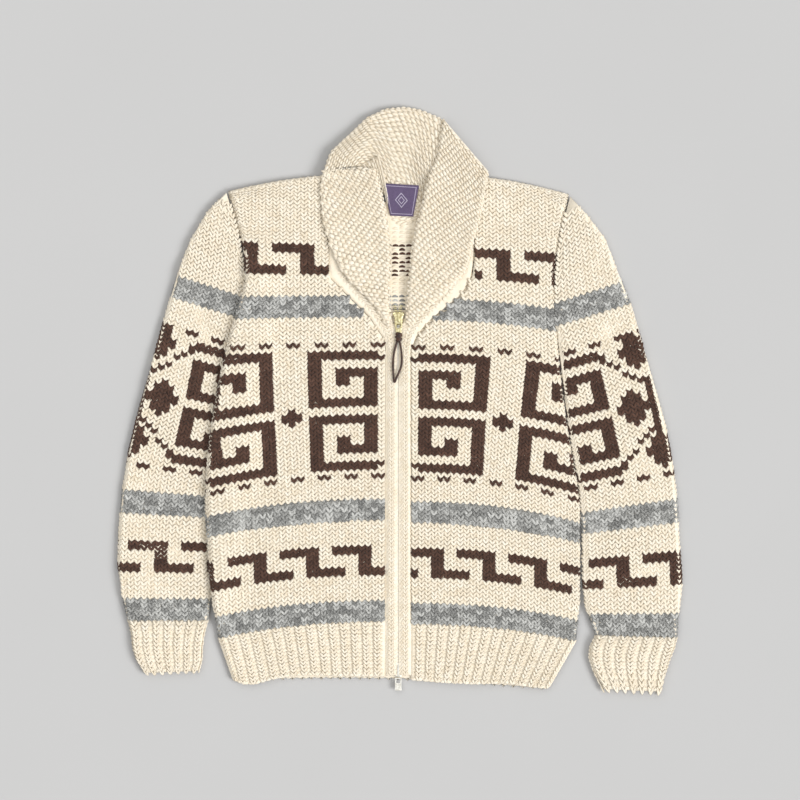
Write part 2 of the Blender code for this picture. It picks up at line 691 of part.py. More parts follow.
def add_thong(pivot, material):
    """The leather thong: a knot below the link and one long loop."""
    z = FRONT_Z + SLIDER["height"] + GAP + 1.1
    points = [(KNOT_X + x, KNOT_Y + y) for x, y in THONG]
    grid_out, grid_in = [], []
    half = THONG_W / 2
    count = len(points)
    for i, (x, y) in enumerate(points):
        before, after = points[max(i - 1, 0)], points[min(i + 1, count - 1)]
        along = np.array((after[0] - before[0], after[1] - before[1]), float)
        along /= np.hypot(*along)
        if i == 5:
            along = np.array((1.0, 0.0))
        side = np.array((-along[1], along[0])) * half
        a, b = np.array((x, y)) + side, np.array((x, y)) - side
        grid_out.append([(*a, z + 1.0), (*b, z + 1.0)])
        grid_in.append([(*a, z - 1.0), (*b, z - 1.0)])
    loop = add_sheet("pull_thong_loop_part", np.array(grid_out, float), np.array(grid_in, float), material)
    half_w, half_l = KNOT["width"] / 2, KNOT["length"] / 2
    knot = add_block("pull_thong", (KNOT_X - half_w, KNOT_Y - half_l, z - 1.1),
                     (KNOT_X + half_w, KNOT_Y + half_l, z - 1.1 + KNOT["height"]), material, 1.6)
    join(knot, [loop])
    hang_on(knot, pivot)
    hang_on(loop, pivot)
    return knot


def add_bottom_slider(material):
    half = BOTTOM_SLIDER["width"] / 2
    low = (ZIP_X + 0.3 - half, BOTTOM_SLIDER_Y - BOTTOM_SLIDER["length"], FRONT_Z)
    high = (ZIP_X + 0.3 + half, BOTTOM_SLIDER_Y, FRONT_Z + BOTTOM_SLIDER["height"])
    return add_block("slider_bottom", low, high, material, 0.8)


def add_bottom_pull(pivot, material):
    """The bottom slider's pull tab, which hangs past the hem."""
    half = BOTTOM_PULL["width"] / 2
    low = (ZIP_X + 0.3 - half, BOTTOM_PIVOT_Y - BOTTOM_PULL["length"], FRONT_Z)
    high = (ZIP_X + 0.3 + half, BOTTOM_PIVOT_Y + 0.8, FRONT_Z + BOTTOM_PULL["thick"])
    tab = add_block("pull_bottom", low, high, material, 0.5)
    hang_on(tab, pivot)
    return tab


def add_pivot(name: str, place):
    pivot = bpy.data.objects.new(name, None)
    bpy.context.scene.collection.objects.link(pivot)
    pivot.location = [value * MM for value in place]
    bpy.context.view_layer.update()
    return pivot


def main():
    for thing in list(bpy.data.objects):
        bpy.data.objects.remove(thing)
    cream = finish("cream_wool", CREAM, 0.95, 0.0)
    grey = finish("grey_heather_wool", GREY, 0.95, 0.0)
    brass = finish("brass", BRASS, 0.35, 1.0)
    steel = finish("pale_metal", STEEL, 0.35, 1.0)
    leather = finish("brown_leather", LEATHER, 0.6, 0.0)
    tape = finish("zip_tape", TAPE, 0.9, 0.0)
    label = finish("woven_label", PURPLE, 0.8, 0.0)

    add_back(cream)
    add_back_rib(cream)
    for side in ("right", "left"):
        add_front(side, cream)
        add_front_rib(side, cream)
        add_band(side, cream)
        add_collar_front(side, cream)
        add_pocket_edge(side, grey)
        add_flat_tube(f"sleeve_{side}", SLEEVES[side], side == "left", cream)
        cuff = []
        for outer_x, outer_y, inner_x, inner_y in CUFFS[side]:
            middle = ((outer_x + inner_x) / 2, (outer_y + inner_y) / 2)
            cuff.append((outer_x, outer_y, *middle, inner_x, inner_y))
        add_flat_tube(f"cuff_{side}", cuff, side == "left", cream)
        add_tape(side, tape)
        add_open_teeth(side, brass)
    add_collar_back(cream)
    add_neck_label(label)
    add_chain(brass)
    add_slider(brass)
    add_bottom_slider(brass)
    top_z = FRONT_Z + SLIDER["height"] + GAP + LINK["thick"] / 2
    top_pivot = add_pivot("top_pull_pivot", (ZIP_X + 0.7, PULL_PIVOT_Y, top_z))
    add_pull_link(top_pivot, brass)
    add_thong(top_pivot, leather)
    low_z = FRONT_Z + BOTTOM_PULL["thick"] / 2
    low_pivot = add_pivot("bottom_pull_pivot", (ZIP_X + 0.3, BOTTOM_PIVOT_Y, low_z))
    add_bottom_pull(low_pivot, steel)


main()
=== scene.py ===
"""Hand-knitted shawl-collar cardigan with a two-way zip, lying flat with its front up.

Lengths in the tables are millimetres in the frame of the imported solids. MM turns them into metres.
"left" and "right" are the wearer's: left is at +X.
"""

import logging
import math
from dataclasses import dataclass
from enum import Enum
from functools import partial
from typing import Callable, Sequence

import bmesh
import bpy
import numpy as np
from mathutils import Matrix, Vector


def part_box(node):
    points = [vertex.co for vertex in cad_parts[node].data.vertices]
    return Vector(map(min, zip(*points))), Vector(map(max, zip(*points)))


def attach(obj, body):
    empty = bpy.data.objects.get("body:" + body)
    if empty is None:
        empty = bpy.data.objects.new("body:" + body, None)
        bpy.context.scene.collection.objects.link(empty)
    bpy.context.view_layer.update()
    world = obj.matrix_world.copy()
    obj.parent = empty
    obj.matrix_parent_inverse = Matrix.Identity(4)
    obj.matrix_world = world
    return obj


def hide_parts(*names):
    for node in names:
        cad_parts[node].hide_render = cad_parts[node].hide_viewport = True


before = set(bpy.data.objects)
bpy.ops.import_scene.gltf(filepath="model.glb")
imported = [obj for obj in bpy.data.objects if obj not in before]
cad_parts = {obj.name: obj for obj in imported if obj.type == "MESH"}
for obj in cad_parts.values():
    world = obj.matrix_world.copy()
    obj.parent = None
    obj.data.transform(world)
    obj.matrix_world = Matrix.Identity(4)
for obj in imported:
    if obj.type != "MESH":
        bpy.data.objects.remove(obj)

MM = 0.001
LOG = logging.getLogger("cardigan")
Array = np.ndarray

# Cloth and layers, in millimetres.
CLOTH = 5.0
GAP = 0.3
FRONT_Z = CLOTH + GAP
SLEEVE_H = 10.6
LIFT = SLEEVE_H + GAP
LIFT_START, LIFT_RAMP = 7.0, 42.0
DROOP_POWER = 2.2
ZIP_X = -2.7
BAND_T = 4.2
BAND_Z = FRONT_Z + 1.0 + GAP
BAND_TOP = BAND_Z + BAND_T
FALL_Z = BAND_TOP + GAP
WELT_TOP, WELT_H, WELT_T = -135.0, 27.0, 2.6
TOP_COURSE, RIB_COURSE = 310.0, -299.0
BODY_ROWS = 106
ROW = (TOP_COURSE - RIB_COURSE) / BODY_ROWS
EDGE_ROLL, EDGE_ARC = 5.0, 1.4
SHELL_DEPTH = 1.9  # how far the cloth's plain shell lies under the crests of its stitches


class Side(Enum):
    """The wearer's sides; the value is the direction along X."""

    RIGHT = -1
    LEFT = 1

    @property
    def word(self) -> str:
        """Name of the side inside a piece's name."""
        return self.name.lower()

    @property
    def column(self) -> int:
        """Column of this side in tables that hold both."""
        return 1 if self is Side.RIGHT else 2


class Yarn(Enum):
    """The three wools."""

    CREAM = 0
    BROWN = 1
    GREY = 2


# Side edges of the body: height y, x at the right, x at the left.
SIDES = (
    (310.0, -234.0, 231.0),
    (284.0, -234.0, 231.0),
    (230.0, -220.0, 218.5),
    (197.0, -211.5, 214.0),
    (163.0, -211.5, 212.0),
    (136.0, -218.0, 213.0),
    (95.0, -231.0, 214.5),
    (48.0, -242.5, 218.0),
    (0.0, -252.0, 223.5),
    (-54.0, -260.0, 232.0),
    (-109.0, -265.0, 242.0),
    (-136.0, -265.5, 245.5),
    (-218.0, -261.5, 245.5),
    (-272.0, -256.0, 245.0),
    (-330.0, -246.0, 239.0),
)

# How far each side edge lies below a course's height at the zip: y, right, left.
COURSES = (
    (310.0, 26.0, 30.0),
    (285.0, 10.0, 17.0),
    (218.0, -6.0, 7.0),
    (141.0, 1.0, 15.0),
    (65.0, 6.0, 17.0),
    (-10.0, 22.0, 24.0),
    (-60.0, 25.0, 29.0),
    (-105.0, 26.0, 30.0),
    (-136.0, 24.0, 29.0),
    (-220.0, 22.0, 25.0),
    (-299.0, 23.0, 23.0),
)

# How much lower the courses of each front lie than their count says.
SINK = {Side.RIGHT: 1.2, Side.LEFT: 4.9}

# Width of one stitch of the fronts: y, right, left.
GAUGE = (
    (310.0, 9.5, 9.5),
    (200.0, 9.55, 9.6),
    (64.0, 9.55, 9.75),
    (-14.0, 9.35, 9.2),
    (-92.0, 9.1, 8.8),
    (-298.0, 8.75, 8.75),
)

# Lower edge of the hem ribs: share of the way from side to zip, x, y.
HEM = {
    Side.RIGHT: ((0.0, -227.0, -381.0), (0.1, -212.0, -387.5), (0.2, -196.0, -387.0), (0.3, -172.0, -380.0),
                 (0.45, -139.0, -374.5), (1.0, -20.7, -376.5)),
    Side.LEFT: ((0.0, 202.0, -393.0), (0.12, 178.0, -391.0), (0.28, 145.0, -386.0), (0.5, 98.0, -387.0),
                (0.75, 52.0, -384.5), (1.0, 15.3, -381.0)),
}
BACK_HEM_RISE = 8.0

# Bands beside the zip and round the neckline: y, outer x, inner x.
NECKLINES = {
    Side.RIGHT: ((-400.0, -20.7, -3.0), (48.0, -19.6, -3.0), (68.0, -18.8, -5.5), (84.0, -21.5, -11.8),
                 (98.0, -31.5, -16.0), (112.0, -40.0, -21.5), (126.0, -54.0, -32.0), (144.0, -72.5, -49.5),
                 (168.0, -96.0, -69.0), (199.0, -98.0, -76.0), (312.0, -98.0, -76.0)),
    Side.LEFT: ((-400.0, 15.3, -2.4), (48.0, 15.3, -2.4), (68.0, 16.0, 0.8), (84.0, 20.5, 6.8),
                (98.0, 31.0, 13.0), (112.0, 44.0, 22.0), (126.0, 62.0, 38.0), (144.0, 84.0, 59.0),
                (168.0, 97.0, 78.0), (199.0, 101.0, 85.0), (312.0, 101.0, 85.0)),
}
BACK_NECK_Y, BACK_NECK_RISE, BACK_NECK_X, BACK_NECK_HALF = 238.0, 64.0, 4.5, 96.5

# Lines across the flat sleeves: outer fold x, y, middle x, y, inner fold x, y.
SLEEVES = {
    Side.RIGHT: (
        (-236.5, 283.0, -215.5, 196.0, -201.0, 76.0),
        (-262.0, 258.0, -229.0, 170.0, -206.0, 62.0),
        (-286.0, 218.0, -248.0, 143.0, -211.0, 48.0),
        (-302.0, 177.0, -260.0, 110.0, -216.0, 32.0),
        (-318.0, 124.0, -270.0, 66.0, -219.0, 10.0),
        (-339.0, 50.0, -282.0, 6.0, -222.0, -28.0),
        (-355.0, -8.0, -292.0, -38.0, -227.0, -62.0),
        (-369.0, -63.0, -303.0, -84.0, -236.0, -101.0),
        (-378.0, -118.0, -311.0, -131.0, -244.0, -140.0),
        (-383.5, -173.0, -315.0, -180.0, -247.5, -185.0),
        (-385.0, -225.0, -317.0, -228.0, -250.0, -230.0),
        (-379.0, -267.0, -317.0, -268.5, -255.5, -269.0),
        (-371.5, -298.5, -315.0, -298.5, -259.5, -298.5),
    ),
    Side.LEFT: (
        (231.9, 278.0, 215.3, 196.0, 212.9, 96.0),
        (254.0, 254.0, 233.0, 172.0, 215.0, 74.0),
        (280.0, 220.0, 249.0, 142.0, 217.5, 50.0),
        (295.0, 180.0, 258.0, 108.0, 220.0, 26.0),
        (316.0, 129.0, 271.0, 66.0, 223.5, -4.0),
        (332.0, 74.0, 280.0, 22.0, 227.5, -34.0),
        (347.0, 20.0, 291.0, -22.0, 233.0, -68.0),
        (362.0, -34.0, 301.0, -68.0, 239.5, -104.0),
        (372.0, -88.0, 308.0, -114.0, 244.5, -140.0),
        (378.5, -140.0, 312.0, -156.0, 246.0, -172.0),
        (381.0, -197.0, 314.0, -204.0, 246.5, -212.0),
        (385.0, -245.0, 316.0, -248.0, 247.0, -250.0),
        (382.0, -279.0, 316.0, -281.0, 251.0, -283.0),
        (377.5, -321.5, 321.0, -320.0, 265.0, -318.5),
    ),
}

# The line that each sleeve's courses are counted on, from the cuff up to the shoulder: x, y.
SLEEVE_SPINES = {
    Side.RIGHT: ((-315.0, -298.5), (-317.0, -268.5), (-317.0, -228.0), (-315.0, -180.0), (-311.0, -131.0),
                 (-303.0, -84.0), (-292.0, -38.0), (-282.0, 6.0), (-270.0, 66.0), (-260.0, 110.0),
                 (-250.0, 143.0), (-246.0, 180.0), (-243.0, 215.0), (-240.0, 250.0), (-237.0, 283.0)),
    Side.LEFT: ((321.0, -320.0), (316.0, -281.0), (316.0, -248.0), (314.0, -204.0), (312.0, -156.0),
                (308.0, -114.0), (301.0, -68.0), (291.0, -22.0), (280.0, 22.0), (271.0, 66.0),
                (258.0, 108.0), (249.0, 142.0), (244.0, 180.0), (240.0, 215.0), (236.0, 250.0),
                (233.0, 278.0)),
}
# Fall of a sleeve's course towards the inner fold, in degrees: row, right, left.
SLEEVE_SLOPES = (
    (0.0, 0.0, -1.5),
    (14.0, 1.0, 4.0),
    (26.0, 3.5, 7.5),
    (34.0, 7.0, 10.0),
    (49.5, 12.0, 12.5),
    (65.0, 17.0, 16.5),
    (75.0, 17.0, 17.0),
    (88.0, 21.0, 21.0),
    (105.0, 24.0, 24.0),
)
SLEEVE_ROW = {Side.RIGHT: 5.95, Side.LEFT: 6.13}
SLEEVE_STITCH = 9.05
SLEEVE_MOTIF = {Side.RIGHT: -8.5, Side.LEFT: 3.3}  # outer edge of the sleeve's square, past the spine

CUFFS = {
    Side.RIGHT: ((-371.0, -299.2, -259.5, -299.2), (-366.0, -318.0, -265.0, -318.0),
                 (-364.5, -336.0, -267.5, -336.0), (-359.0, -354.0, -268.0, -353.5),
                 (-347.0, -372.5, -272.0, -369.5)),
    Side.LEFT: ((377.5, -322.3, 264.5, -319.3), (374.0, -337.0, 257.0, -334.5), (367.0, -353.5, 255.5, -350.0),
                (362.0, -370.0, 261.0, -367.0), (355.0, -398.5, 274.5, -394.5)),
}

# Collar fronts: free edge x, y, fold x, y, wall.
COLLAR_FRONTS = {
    Side.RIGHT: (
        (-106.0, 311.2, -33.0, 315.6, 36.0, 5.0),
        (-110.0, 287.0, -25.5, 288.0, 44.0, 5.0),
        (-106.0, 241.0, -16.5, 245.0, 52.0, 5.0),
        (-95.5, 207.0, -12.5, 211.0, 56.0, 5.0),
        (-83.0, 178.0, -11.8, 185.0, 48.0, 5.0),
        (-68.0, 159.0, -13.5, 166.0, 34.0, 5.0),
        (-54.0, 146.0, -14.5, 151.0, 24.0, 4.8),
        (-37.5, 129.5, -14.0, 136.0, 14.5, 4.4),
        (-25.5, 111.0, -12.6, 118.0, 4.5, 3.8),
        (-18.5, 97.0, -11.8, 102.5, 0.6, 3.0),
    ),
    Side.LEFT: (
        (121.0, 309.0, 58.5, 382.0, 20.0, 5.0),
        (118.0, 290.0, 53.5, 354.0, 28.0, 5.0),
        (114.0, 265.0, 49.0, 330.0, 34.0, 5.0),
        (109.0, 240.0, 37.0, 299.0, 44.0, 5.0),
        (101.0, 214.0, 29.5, 265.0, 48.0, 5.0),
        (96.5, 193.0, 21.0, 237.0, 52.0, 5.0),
        (90.0, 174.0, 15.0, 204.0, 50.0, 5.0),
        (77.5, 159.0, 12.5, 180.0, 40.0, 5.0),
        (61.0, 143.0, 10.5, 158.0, 26.0, 4.8),
        (43.5, 128.0, 9.2, 139.0, 14.5, 4.4),
        (27.5, 113.0, 8.2, 122.5, 7.0, 3.8),
        (16.0, 98.5, 7.8, 104.0, 0.8, 3.0),
    ),
}

# Back of the collar: inner end, middle and fold of each line across it, and how high it rides.
COLLAR_BACK = (
    (-31.0, 317.0, -68.0, 315.2, -103.5, 313.0, 5.3),
    (-25.5, 299.0, -63.0, 326.0, -95.0, 337.0, 3.4),
    (-20.5, 282.0, -51.0, 337.0, -72.0, 358.0, 1.2),
    (-16.0, 264.0, -33.0, 340.0, -43.5, 385.0, 0.0),
    (-9.5, 249.0, -9.5, 326.0, -20.0, 396.0, 0.0),
    (0.0, 243.5, 5.5, 326.0, 4.0, 398.5, 0.0),
    (9.0, 243.0, 19.0, 319.0, 28.5, 394.5, 0.0),
    (22.0, 245.2, 37.4, 297.0, 57.1, 383.4, 0.0),
)
COLLAR_BACK_LEG = 0.28
LABEL_CORNERS = ((-23.0, 294.5), (26.0, 291.5), (18.0, 249.0), (-13.5, 250.5))

# Soft creases: from x, y to x, y, half width, height (negative for a trough).
CREASES = (
    (-204.0, -180.0, -204.0, -262.0, 5.0, 1.1),
    (66.0, -172.0, 68.0, -250.0, 5.0, 0.9),
    (200.0, -178.0, 203.0, -255.0, 6.0, 0.9),
    (-196.0, 262.0, -120.0, 214.0, 14.0, -1.4),
    (-214.0, 226.0, -150.0, 170.0, 12.0, 1.0),
    (188.0, 268.0, 122.0, 226.0, 14.0, -1.3),
    (-150.0, 20.0, -120.0, -120.0, 20.0, 1.0),
    (120.0, 60.0, 108.0, -110.0, 18.0, -1.0),
    (178.0, 120.0, 150.0, -20.0, 15.0, 1.1),
    (-285.0, 150.0, -240.0, 40.0, 12.0, -1.2),
    (-330.0, -20.0, -262.0, -90.0, 14.0, 0.9),
    (-372.0, -190.0, -280.0, -215.0, 11.0, -0.9),
    (300.0, 120.0, 240.0, 30.0, 13.0, -1.2),
    (330.0, -30.0, 262.0, -80.0, 14.0, 1.0),
    (362.0, -220.0, 270.0, -262.0, 12.0, -1.0),
)


def smooth(value: Array) -> Array:
    """0 below 0, 1 above 1, and a soft step between."""
    value = np.clip(value, 0.0, 1.0)
    return value * value * (3.0 - 2.0 * value)


def read(table: Sequence[Sequence[float]], value: Array, column: int) -> Array:
    """A table's column at a value of its first column.

    Args:
        table: Rows, sorted or not, by their first column.
        value: Where to read.
        column: Which column to return.

    Returns:
        The interpolated column.
    """
    rows = np.array(sorted(table), float)
    return np.interp(value, rows[:, 0], rows[:, column])


def lift(x: Array, y: Array) -> Array:
    """How far the right sleeve, tucked under the body, raises it at a point.

    Args:
        x: Place across.
        y: Height.

    Returns:
        The rise at each point.
    """
    edge = read(SIDES, y, 1)
    inner = np.array([(row[5], row[4]) for row in SLEEVES[Side.RIGHT]], float)
    reach = np.interp(y, inner[::-1, 0], inner[::-1, 1])
    along = smooth((232.0 - y) / 44.0) * smooth((y + 321.0) / 48.0)
    reach = np.maximum(reach, edge)
    return LIFT * along * (1.0 - smooth((x - reach - LIFT_START) / LIFT_RAMP))


def relief(x: Array, y: Array) -> Array:
    """Creases laid by hand and the slow unevenness of thick cloth lying on itself.

    Args:
        x: Place across.
        y: Height.

    Returns:
        Height to add at each point.
    """
    height = 0.35 * np.sin(x / 37.0 + 1.3 * np.sin(y / 61.0)) * np.sin(y / 43.0 + 0.7)
    height += 0.25 * np.sin(x / 19.0 + y / 83.0 + 0.4)
    for x0, y0, x1, y1, width, tall in CREASES:
        length = math.hypot(x1 - x0, y1 - y0)
        ux, uy = (x1 - x0) / length, (y1 - y0) / length
        along = ((x - x0) * ux + (y - y0) * uy) / length
        wave = 0.12 * width * np.sin(along * 9.0 + x0)
        off = -(x - x0) * uy + (y - y0) * ux + wave
        ends = smooth(along / 0.35 + 0.15) * smooth((1.0 - along) / 0.35 + 0.15)
        height = height + tall * ends * np.exp(-((off / width) ** 2))
    return height


def edge_drop(distance: Array, radius: float) -> Array:
    """How far a rounded edge has fallen at a distance from its rim.

    Args:
        distance: Distance from the rim.
        radius: Radius of the rounding.

    Returns:
        The fall, 0 past the radius.
    """
    reach = np.clip(radius - distance, 0.0, radius)
    return radius - np.sqrt(np.maximum(radius * radius - reach * reach, 0.0))


# --- Meshes from arrays ---------------------------------------------------------------------------


def mesh_object(name: str, points: Array, faces: Array, material: bpy.types.Material,
                strand: Array | None = None) -> bpy.types.Object:
    """One object from millimetre points and triangles or quads.

    Args:
        name: Name of the piece.
        points: (n, 3) points in millimetres.
        faces: (m, 3) or (m, 4) corner numbers.
        material: Finish of the piece.
        strand: (n, 3) round, along and shade of the yarn at each point.

    Returns:
        The new object.
    """
    mesh = bpy.data.meshes.new(name)
    corners = faces.shape[1]
    mesh.vertices.add(len(points))
    mesh.vertices.foreach_set("co", (np.asarray(points, np.float64) * MM).astype(np.float32).ravel())
    mesh.loops.add(faces.size)
    mesh.loops.foreach_set("vertex_index", faces.astype(np.int32).ravel())
    mesh.polygons.add(len(faces))
    mesh.polygons.foreach_set("loop_start", np.arange(0, faces.size, corners, dtype=np.int32))
    mesh.update(calc_edges=True)
    mesh.polygons.foreach_set("use_smooth", np.ones(len(faces), bool))
    if strand is not None:
        layer = mesh.attributes.new("strand", "FLOAT_VECTOR", "POINT")
        layer.data.foreach_set("vector", strand.astype(np.float32).ravel())
    mesh.materials.append(material)
    piece = bpy.data.objects.new(name, mesh)
    bpy.context.scene.collection.objects.link(piece)
    return piece


def wall_faces(rows: int, columns: int, ring: bool = False) -> Array:
    """Quads of a closed wall between two grids of points, outer grid first.

    Args:
        rows: Rows of each grid.
        columns: Columns of each grid.
        ring: Whether each row closes on itself.

    Returns:
        (n, 4) corner numbers.
    """
    count = rows * columns
    last = columns if ring else columns - 1
    i, j = np.meshgrid(np.arange(rows - 1), np.arange(last), indexing="ij")
    i, j = i.ravel(), j.ravel()
    k = (j + 1) % columns
    top = np.stack([i * columns + j, (i + 1) * columns + j, (i + 1) * columns + k, i * columns + k], 1)
    parts = [top, top[:, [0, 3, 2, 1]] + count]
    if ring:
        for row, turned in ((0, False), (rows - 1, True)):
            a = row * columns + np.arange(columns)
            b = row * columns + (np.arange(columns) + 1) % columns
            rim = np.stack([a, b, count + b, count + a], 1)
            parts.append(rim[:, ::-1] if turned else rim)
    else:
        rim = [(0, c) for c in range(columns)] + [(r, columns - 1) for r in range(1, rows)]
        rim += [(rows - 1, c) for c in range(columns - 2, -1, -1)] + [(r, 0) for r in range(rows - 2, 0, -1)]
        a = np.array([r * columns + c for r, c in rim])
        b = np.roll(a, -1)
        parts.append(np.stack([a, b, count + b, count + a], 1))
    return np.concatenate(parts)


# --- Stitches --------------------------------------------------------------------------------------


@dataclass
class Cells:
    """Places of stitches: foot, vectors across and up, outward normal and yarn of each."""

    foot: Array
    across: Array
    up: Array
    out: Array
    yarn: Array

    @staticmethod
    def from_corners(low_a: Array, low_b: Array, high_a: Array, high_b: Array, yarn: Array) -> "Cells":
        """Cells from their four corners.

        Args:
            low_a: Lower corners at the start of each cell.
            low_b: Lower corners at its end.
            high_a: Upper corners at its start.
            high_b: Upper corners at its end.
            yarn: Yarn number of each cell.

        Returns:
            The cells.
        """
        foot = (low_a + low_b) / 2
        across = (low_b - low_a + high_b - high_a) / 2
        up = (high_a + high_b) / 2 - foot
        out = np.cross(across, up)
        out /= np.maximum(np.linalg.norm(out, axis=1, keepdims=True), 1e-9)
        return Cells(foot, across, up, out, np.asarray(yarn, int))

    def only(self, keep: Array) -> "Cells":
        """The cells that a mask keeps."""
        return Cells(self.foot[keep], self.across[keep], self.up[keep], self.out[keep], self.yarn[keep])


@dataclass
class Shape:
    """A stitch's template: across and up as shares of a cell, outwards in millimetres."""

    points: Array
    faces: Array
    strand: Array


def spindle(path: Sequence[tuple[float, ...]], sides: Sequence[float], turn: float = 0.0) -> Shape:
    """A closed spindle of yarn.

    Args:
        path: Stations: across, up, outwards, half width, half height. First and last are points.
        sides: Angles round it in degrees, 90 outwards.
        turn: Direction of its width, in degrees from across.

    Returns:
        The template.
    """
    points, strand = [], []
    ca, sa = math.cos(math.radians(turn)), math.sin(math.radians(turn))
    count = len(sides)
    for number, (a, b, c, wide, high) in enumerate(path):
        share = number / (len(path) - 1)
        if number in (0, len(path) - 1):
            points.append((a, b, c))
            strand.append((0.5, share))
            continue
        for angle in sides:
            w = wide * math.cos(math.radians(angle))
            points.append((a + w * ca, b + w * sa * 9.2 / 5.8, c + high * math.sin(math.radians(angle))))
            strand.append((angle / 360.0, share))
    faces = []
    rings = len(path) - 2
    end = 1 + rings * count
    for j in range(count):
        k = (j + 1) % count
        faces.append((0, 1 + k, 1 + j))
        for i in range(rings - 1):
            a, b = 1 + i * count, 1 + (i + 1) * count
            faces.append((a + j, a + k, b + k))
            faces.append((a + j, b + k, b + j))
        a = 1 + (rings - 1) * count
        faces.append((a + j, a + k, end))
    return Shape(np.array(points), np.array(faces), np.array(strand))


def merge(shapes: Sequence[Shape]) -> Shape:
    """Several templates as one.

    Args:
        shapes: The templates.

    Returns:
        All of them in one mesh.
    """
    points, faces, strand, start = [], [], [], 0
    for shape in shapes:
        points.append(shape.points)
        faces.append(shape.faces + start)
        strand.append(shape.strand)
        start += len(shape.points)
    return Shape(np.concatenate(points), np.concatenate(faces), np.concatenate(strand))


def mirrored(shape: Shape) -> Shape:
    """A template turned over left to right."""
    points = shape.points * (-1.0, 1.0, 1.0)
    return Shape(points, shape.faces[:, ::-1], shape.strand * (-1.0, 1.0))


FIVE = (0.0, 55.0, 125.0, 180.0, 270.0)
THREE = (0.0, 90.0, 180.0)


def knit_shape(fine: bool = True) -> Shape:
    """A knit stitch: two plump legs that meet in a point below.

    Args:
        fine: Five-sided legs for stitches that show, or three-sided ones for the rest.

    Returns:
        The template.
    """
    if fine:
        path = ((0.02, -0.45, -1.7, 0.0, 0.0), (0.12, -0.16, -0.8, 0.24, 1.1), (0.25, 0.36, -0.65, 0.325, 1.15),
                (0.36, 0.82, -1.2, 0.26, 1.0), (0.41, 1.12, -2.4, 0.0, 0.0))
        leg = spindle(path, FIVE, 24.0)
    else:
        path = ((0.03, -0.36, -2.3, 0.0, 0.0), (0.18, 0.12, -0.9, 0.26, 1.2), (0.31, 0.7, -1.1, 0.25, 1.2),
                (0.38, 1.1, -2.3, 0.0, 0.0))
        leg = spindle(path, THREE, 20.0)
    return merge([leg, mirrored(leg)])


def purl_shape(high: float = 1.5) -> Shape:
    """The bump of a purl stitch: a short bar across, arched in the middle."""
    path = ((-0.56, 0.3, -2.0, 0.0, 0.0), (-0.3, 0.5, -1.2, 0.17, high * 0.8), (0.0, 0.62, -0.7, 0.2, high),
            (0.3, 0.5, -1.2, 0.17, high * 0.8), (0.56, 0.3, -2.0, 0.0, 0.0))
    return spindle(path, FIVE, -90.0)


def seed_shape() -> Shape:
    """A bump of seed stitch: a plump, slightly slanted bead."""
    path = ((-0.62, 0.44, -2.3, 0.0, 0.0), (-0.36, 0.46, -1.1, 0.24, 1.5), (0.0, 0.52, -0.55, 0.31, 1.9),
            (0.36, 0.56, -1.1, 0.24, 1.5), (0.62, 0.56, -2.3, 0.0, 0.0))
    return spindle(path, (0.0, 45.0, 90.0, 135.0, 180.0, 270.0), -90.0)


class Knitter:
    """Turns cells and a template into one mesh for each yarn."""

    def __init__(self, wools: dict[Yarn, bpy.types.Material], seed: int = 7) -> None:
        """Keep the yarns' materials and a seeded source of unevenness.

        Args:
            wools: Material of each yarn.
            seed: Start of the unevenness.
        """
        self.wools = wools
        self.chance = np.random.default_rng(seed)
        self.triangles = 0

    def knit(self, name: str, sets: Sequence[tuple[Cells, Shape]],
             loose: float = 1.0) -> list[bpy.types.Object]:
        """Build the stitches of one piece.

        Args:
            name: Start of the new objects' names.
            sets: Cells with the template that each set uses.
            loose: How uneven the stitches are.

        Returns:
            One object for each yarn that occurs.
        """
        made = []
        for yarn in Yarn:
            points, faces, strand, start = [], [], [], 0
            for cells, shape in sets:
                mine = cells.only(cells.yarn == yarn.value)
                count = len(mine.foot)
                if not count:
                    continue
                a, b, c = shape.points.T
                shift = self.chance.normal(0.0, 1.0, (count, 5)) * loose
                size = 1.0 + 0.045 * shift[:, 3:4]
                aa = a[None] * size + 0.025 * shift[:, 0:1] + 0.03 * shift[:, 4:5] * (b[None] - 0.4)
                bb = b[None] * (2.0 - size) + 0.03 * shift[:, 1:2]
                cc = c[None] + 0.16 * shift[:, 2:3]
                where = mine.foot[:, None] + aa[..., None] * mine.across[:, None]
                where = where + bb[..., None] * mine.up[:, None] + cc[..., None] * mine.out[:, None]
                points.append(where.reshape(-1, 3))
                first = start + np.arange(count)[:, None, None] * len(a)
                faces.append((shape.faces[None] + first).reshape(-1, 3))
                shade = np.repeat(self.chance.random(count), len(a))
                turns = np.tile(shape.strand, (count, 1))
                strand.append(np.column_stack([turns, shade]))
                start += count * len(a)
            if not points:
                continue
            knit = np.concatenate(points)
            # The underside is pressed flat where it lies on the surface.
            z = knit[:, 2]
            knit[:, 2] = np.where(z < 0.5, 0.05 + 0.45 * np.exp((z - 0.5) / 0.45), z)
            piece = mesh_object(f"{name}_{yarn.name.lower()}_stitches", knit,
                                np.concatenate(faces), self.wools[yarn], np.concatenate(strand))
            self.triangles += len(piece.data.polygons)
            LOG.info("%s: %d triangles", piece.name, len(piece.data.polygons))
            made.append(piece)
        return made


# --- Charts ----------------------------------------------------------------------------------------

# The square's spiral, from its outer row to its inner one: rows, and the columns it fills.
SPIRAL = (
    (1, "##########."),
    (1, "###########"),
    (2, "##........."),
    (2, "##..######."),
    (2, "##..##..##."),
    (3, "##......##."),
    (2, "##########."),
)
DIAMOND = {-4: 0, -3: 1, -2: 1, -1: 2, 0: 2, 1: 1, 2: 1, 3: 0}
SMALL_DIAMOND = {-2: 0, -1: 1, 0: 1, 1: 0}
LOW_SQUARE, HIGH_SQUARE = 36, 51
GREY_ROWS = ((0, 4), (24, 28), (72, 76))


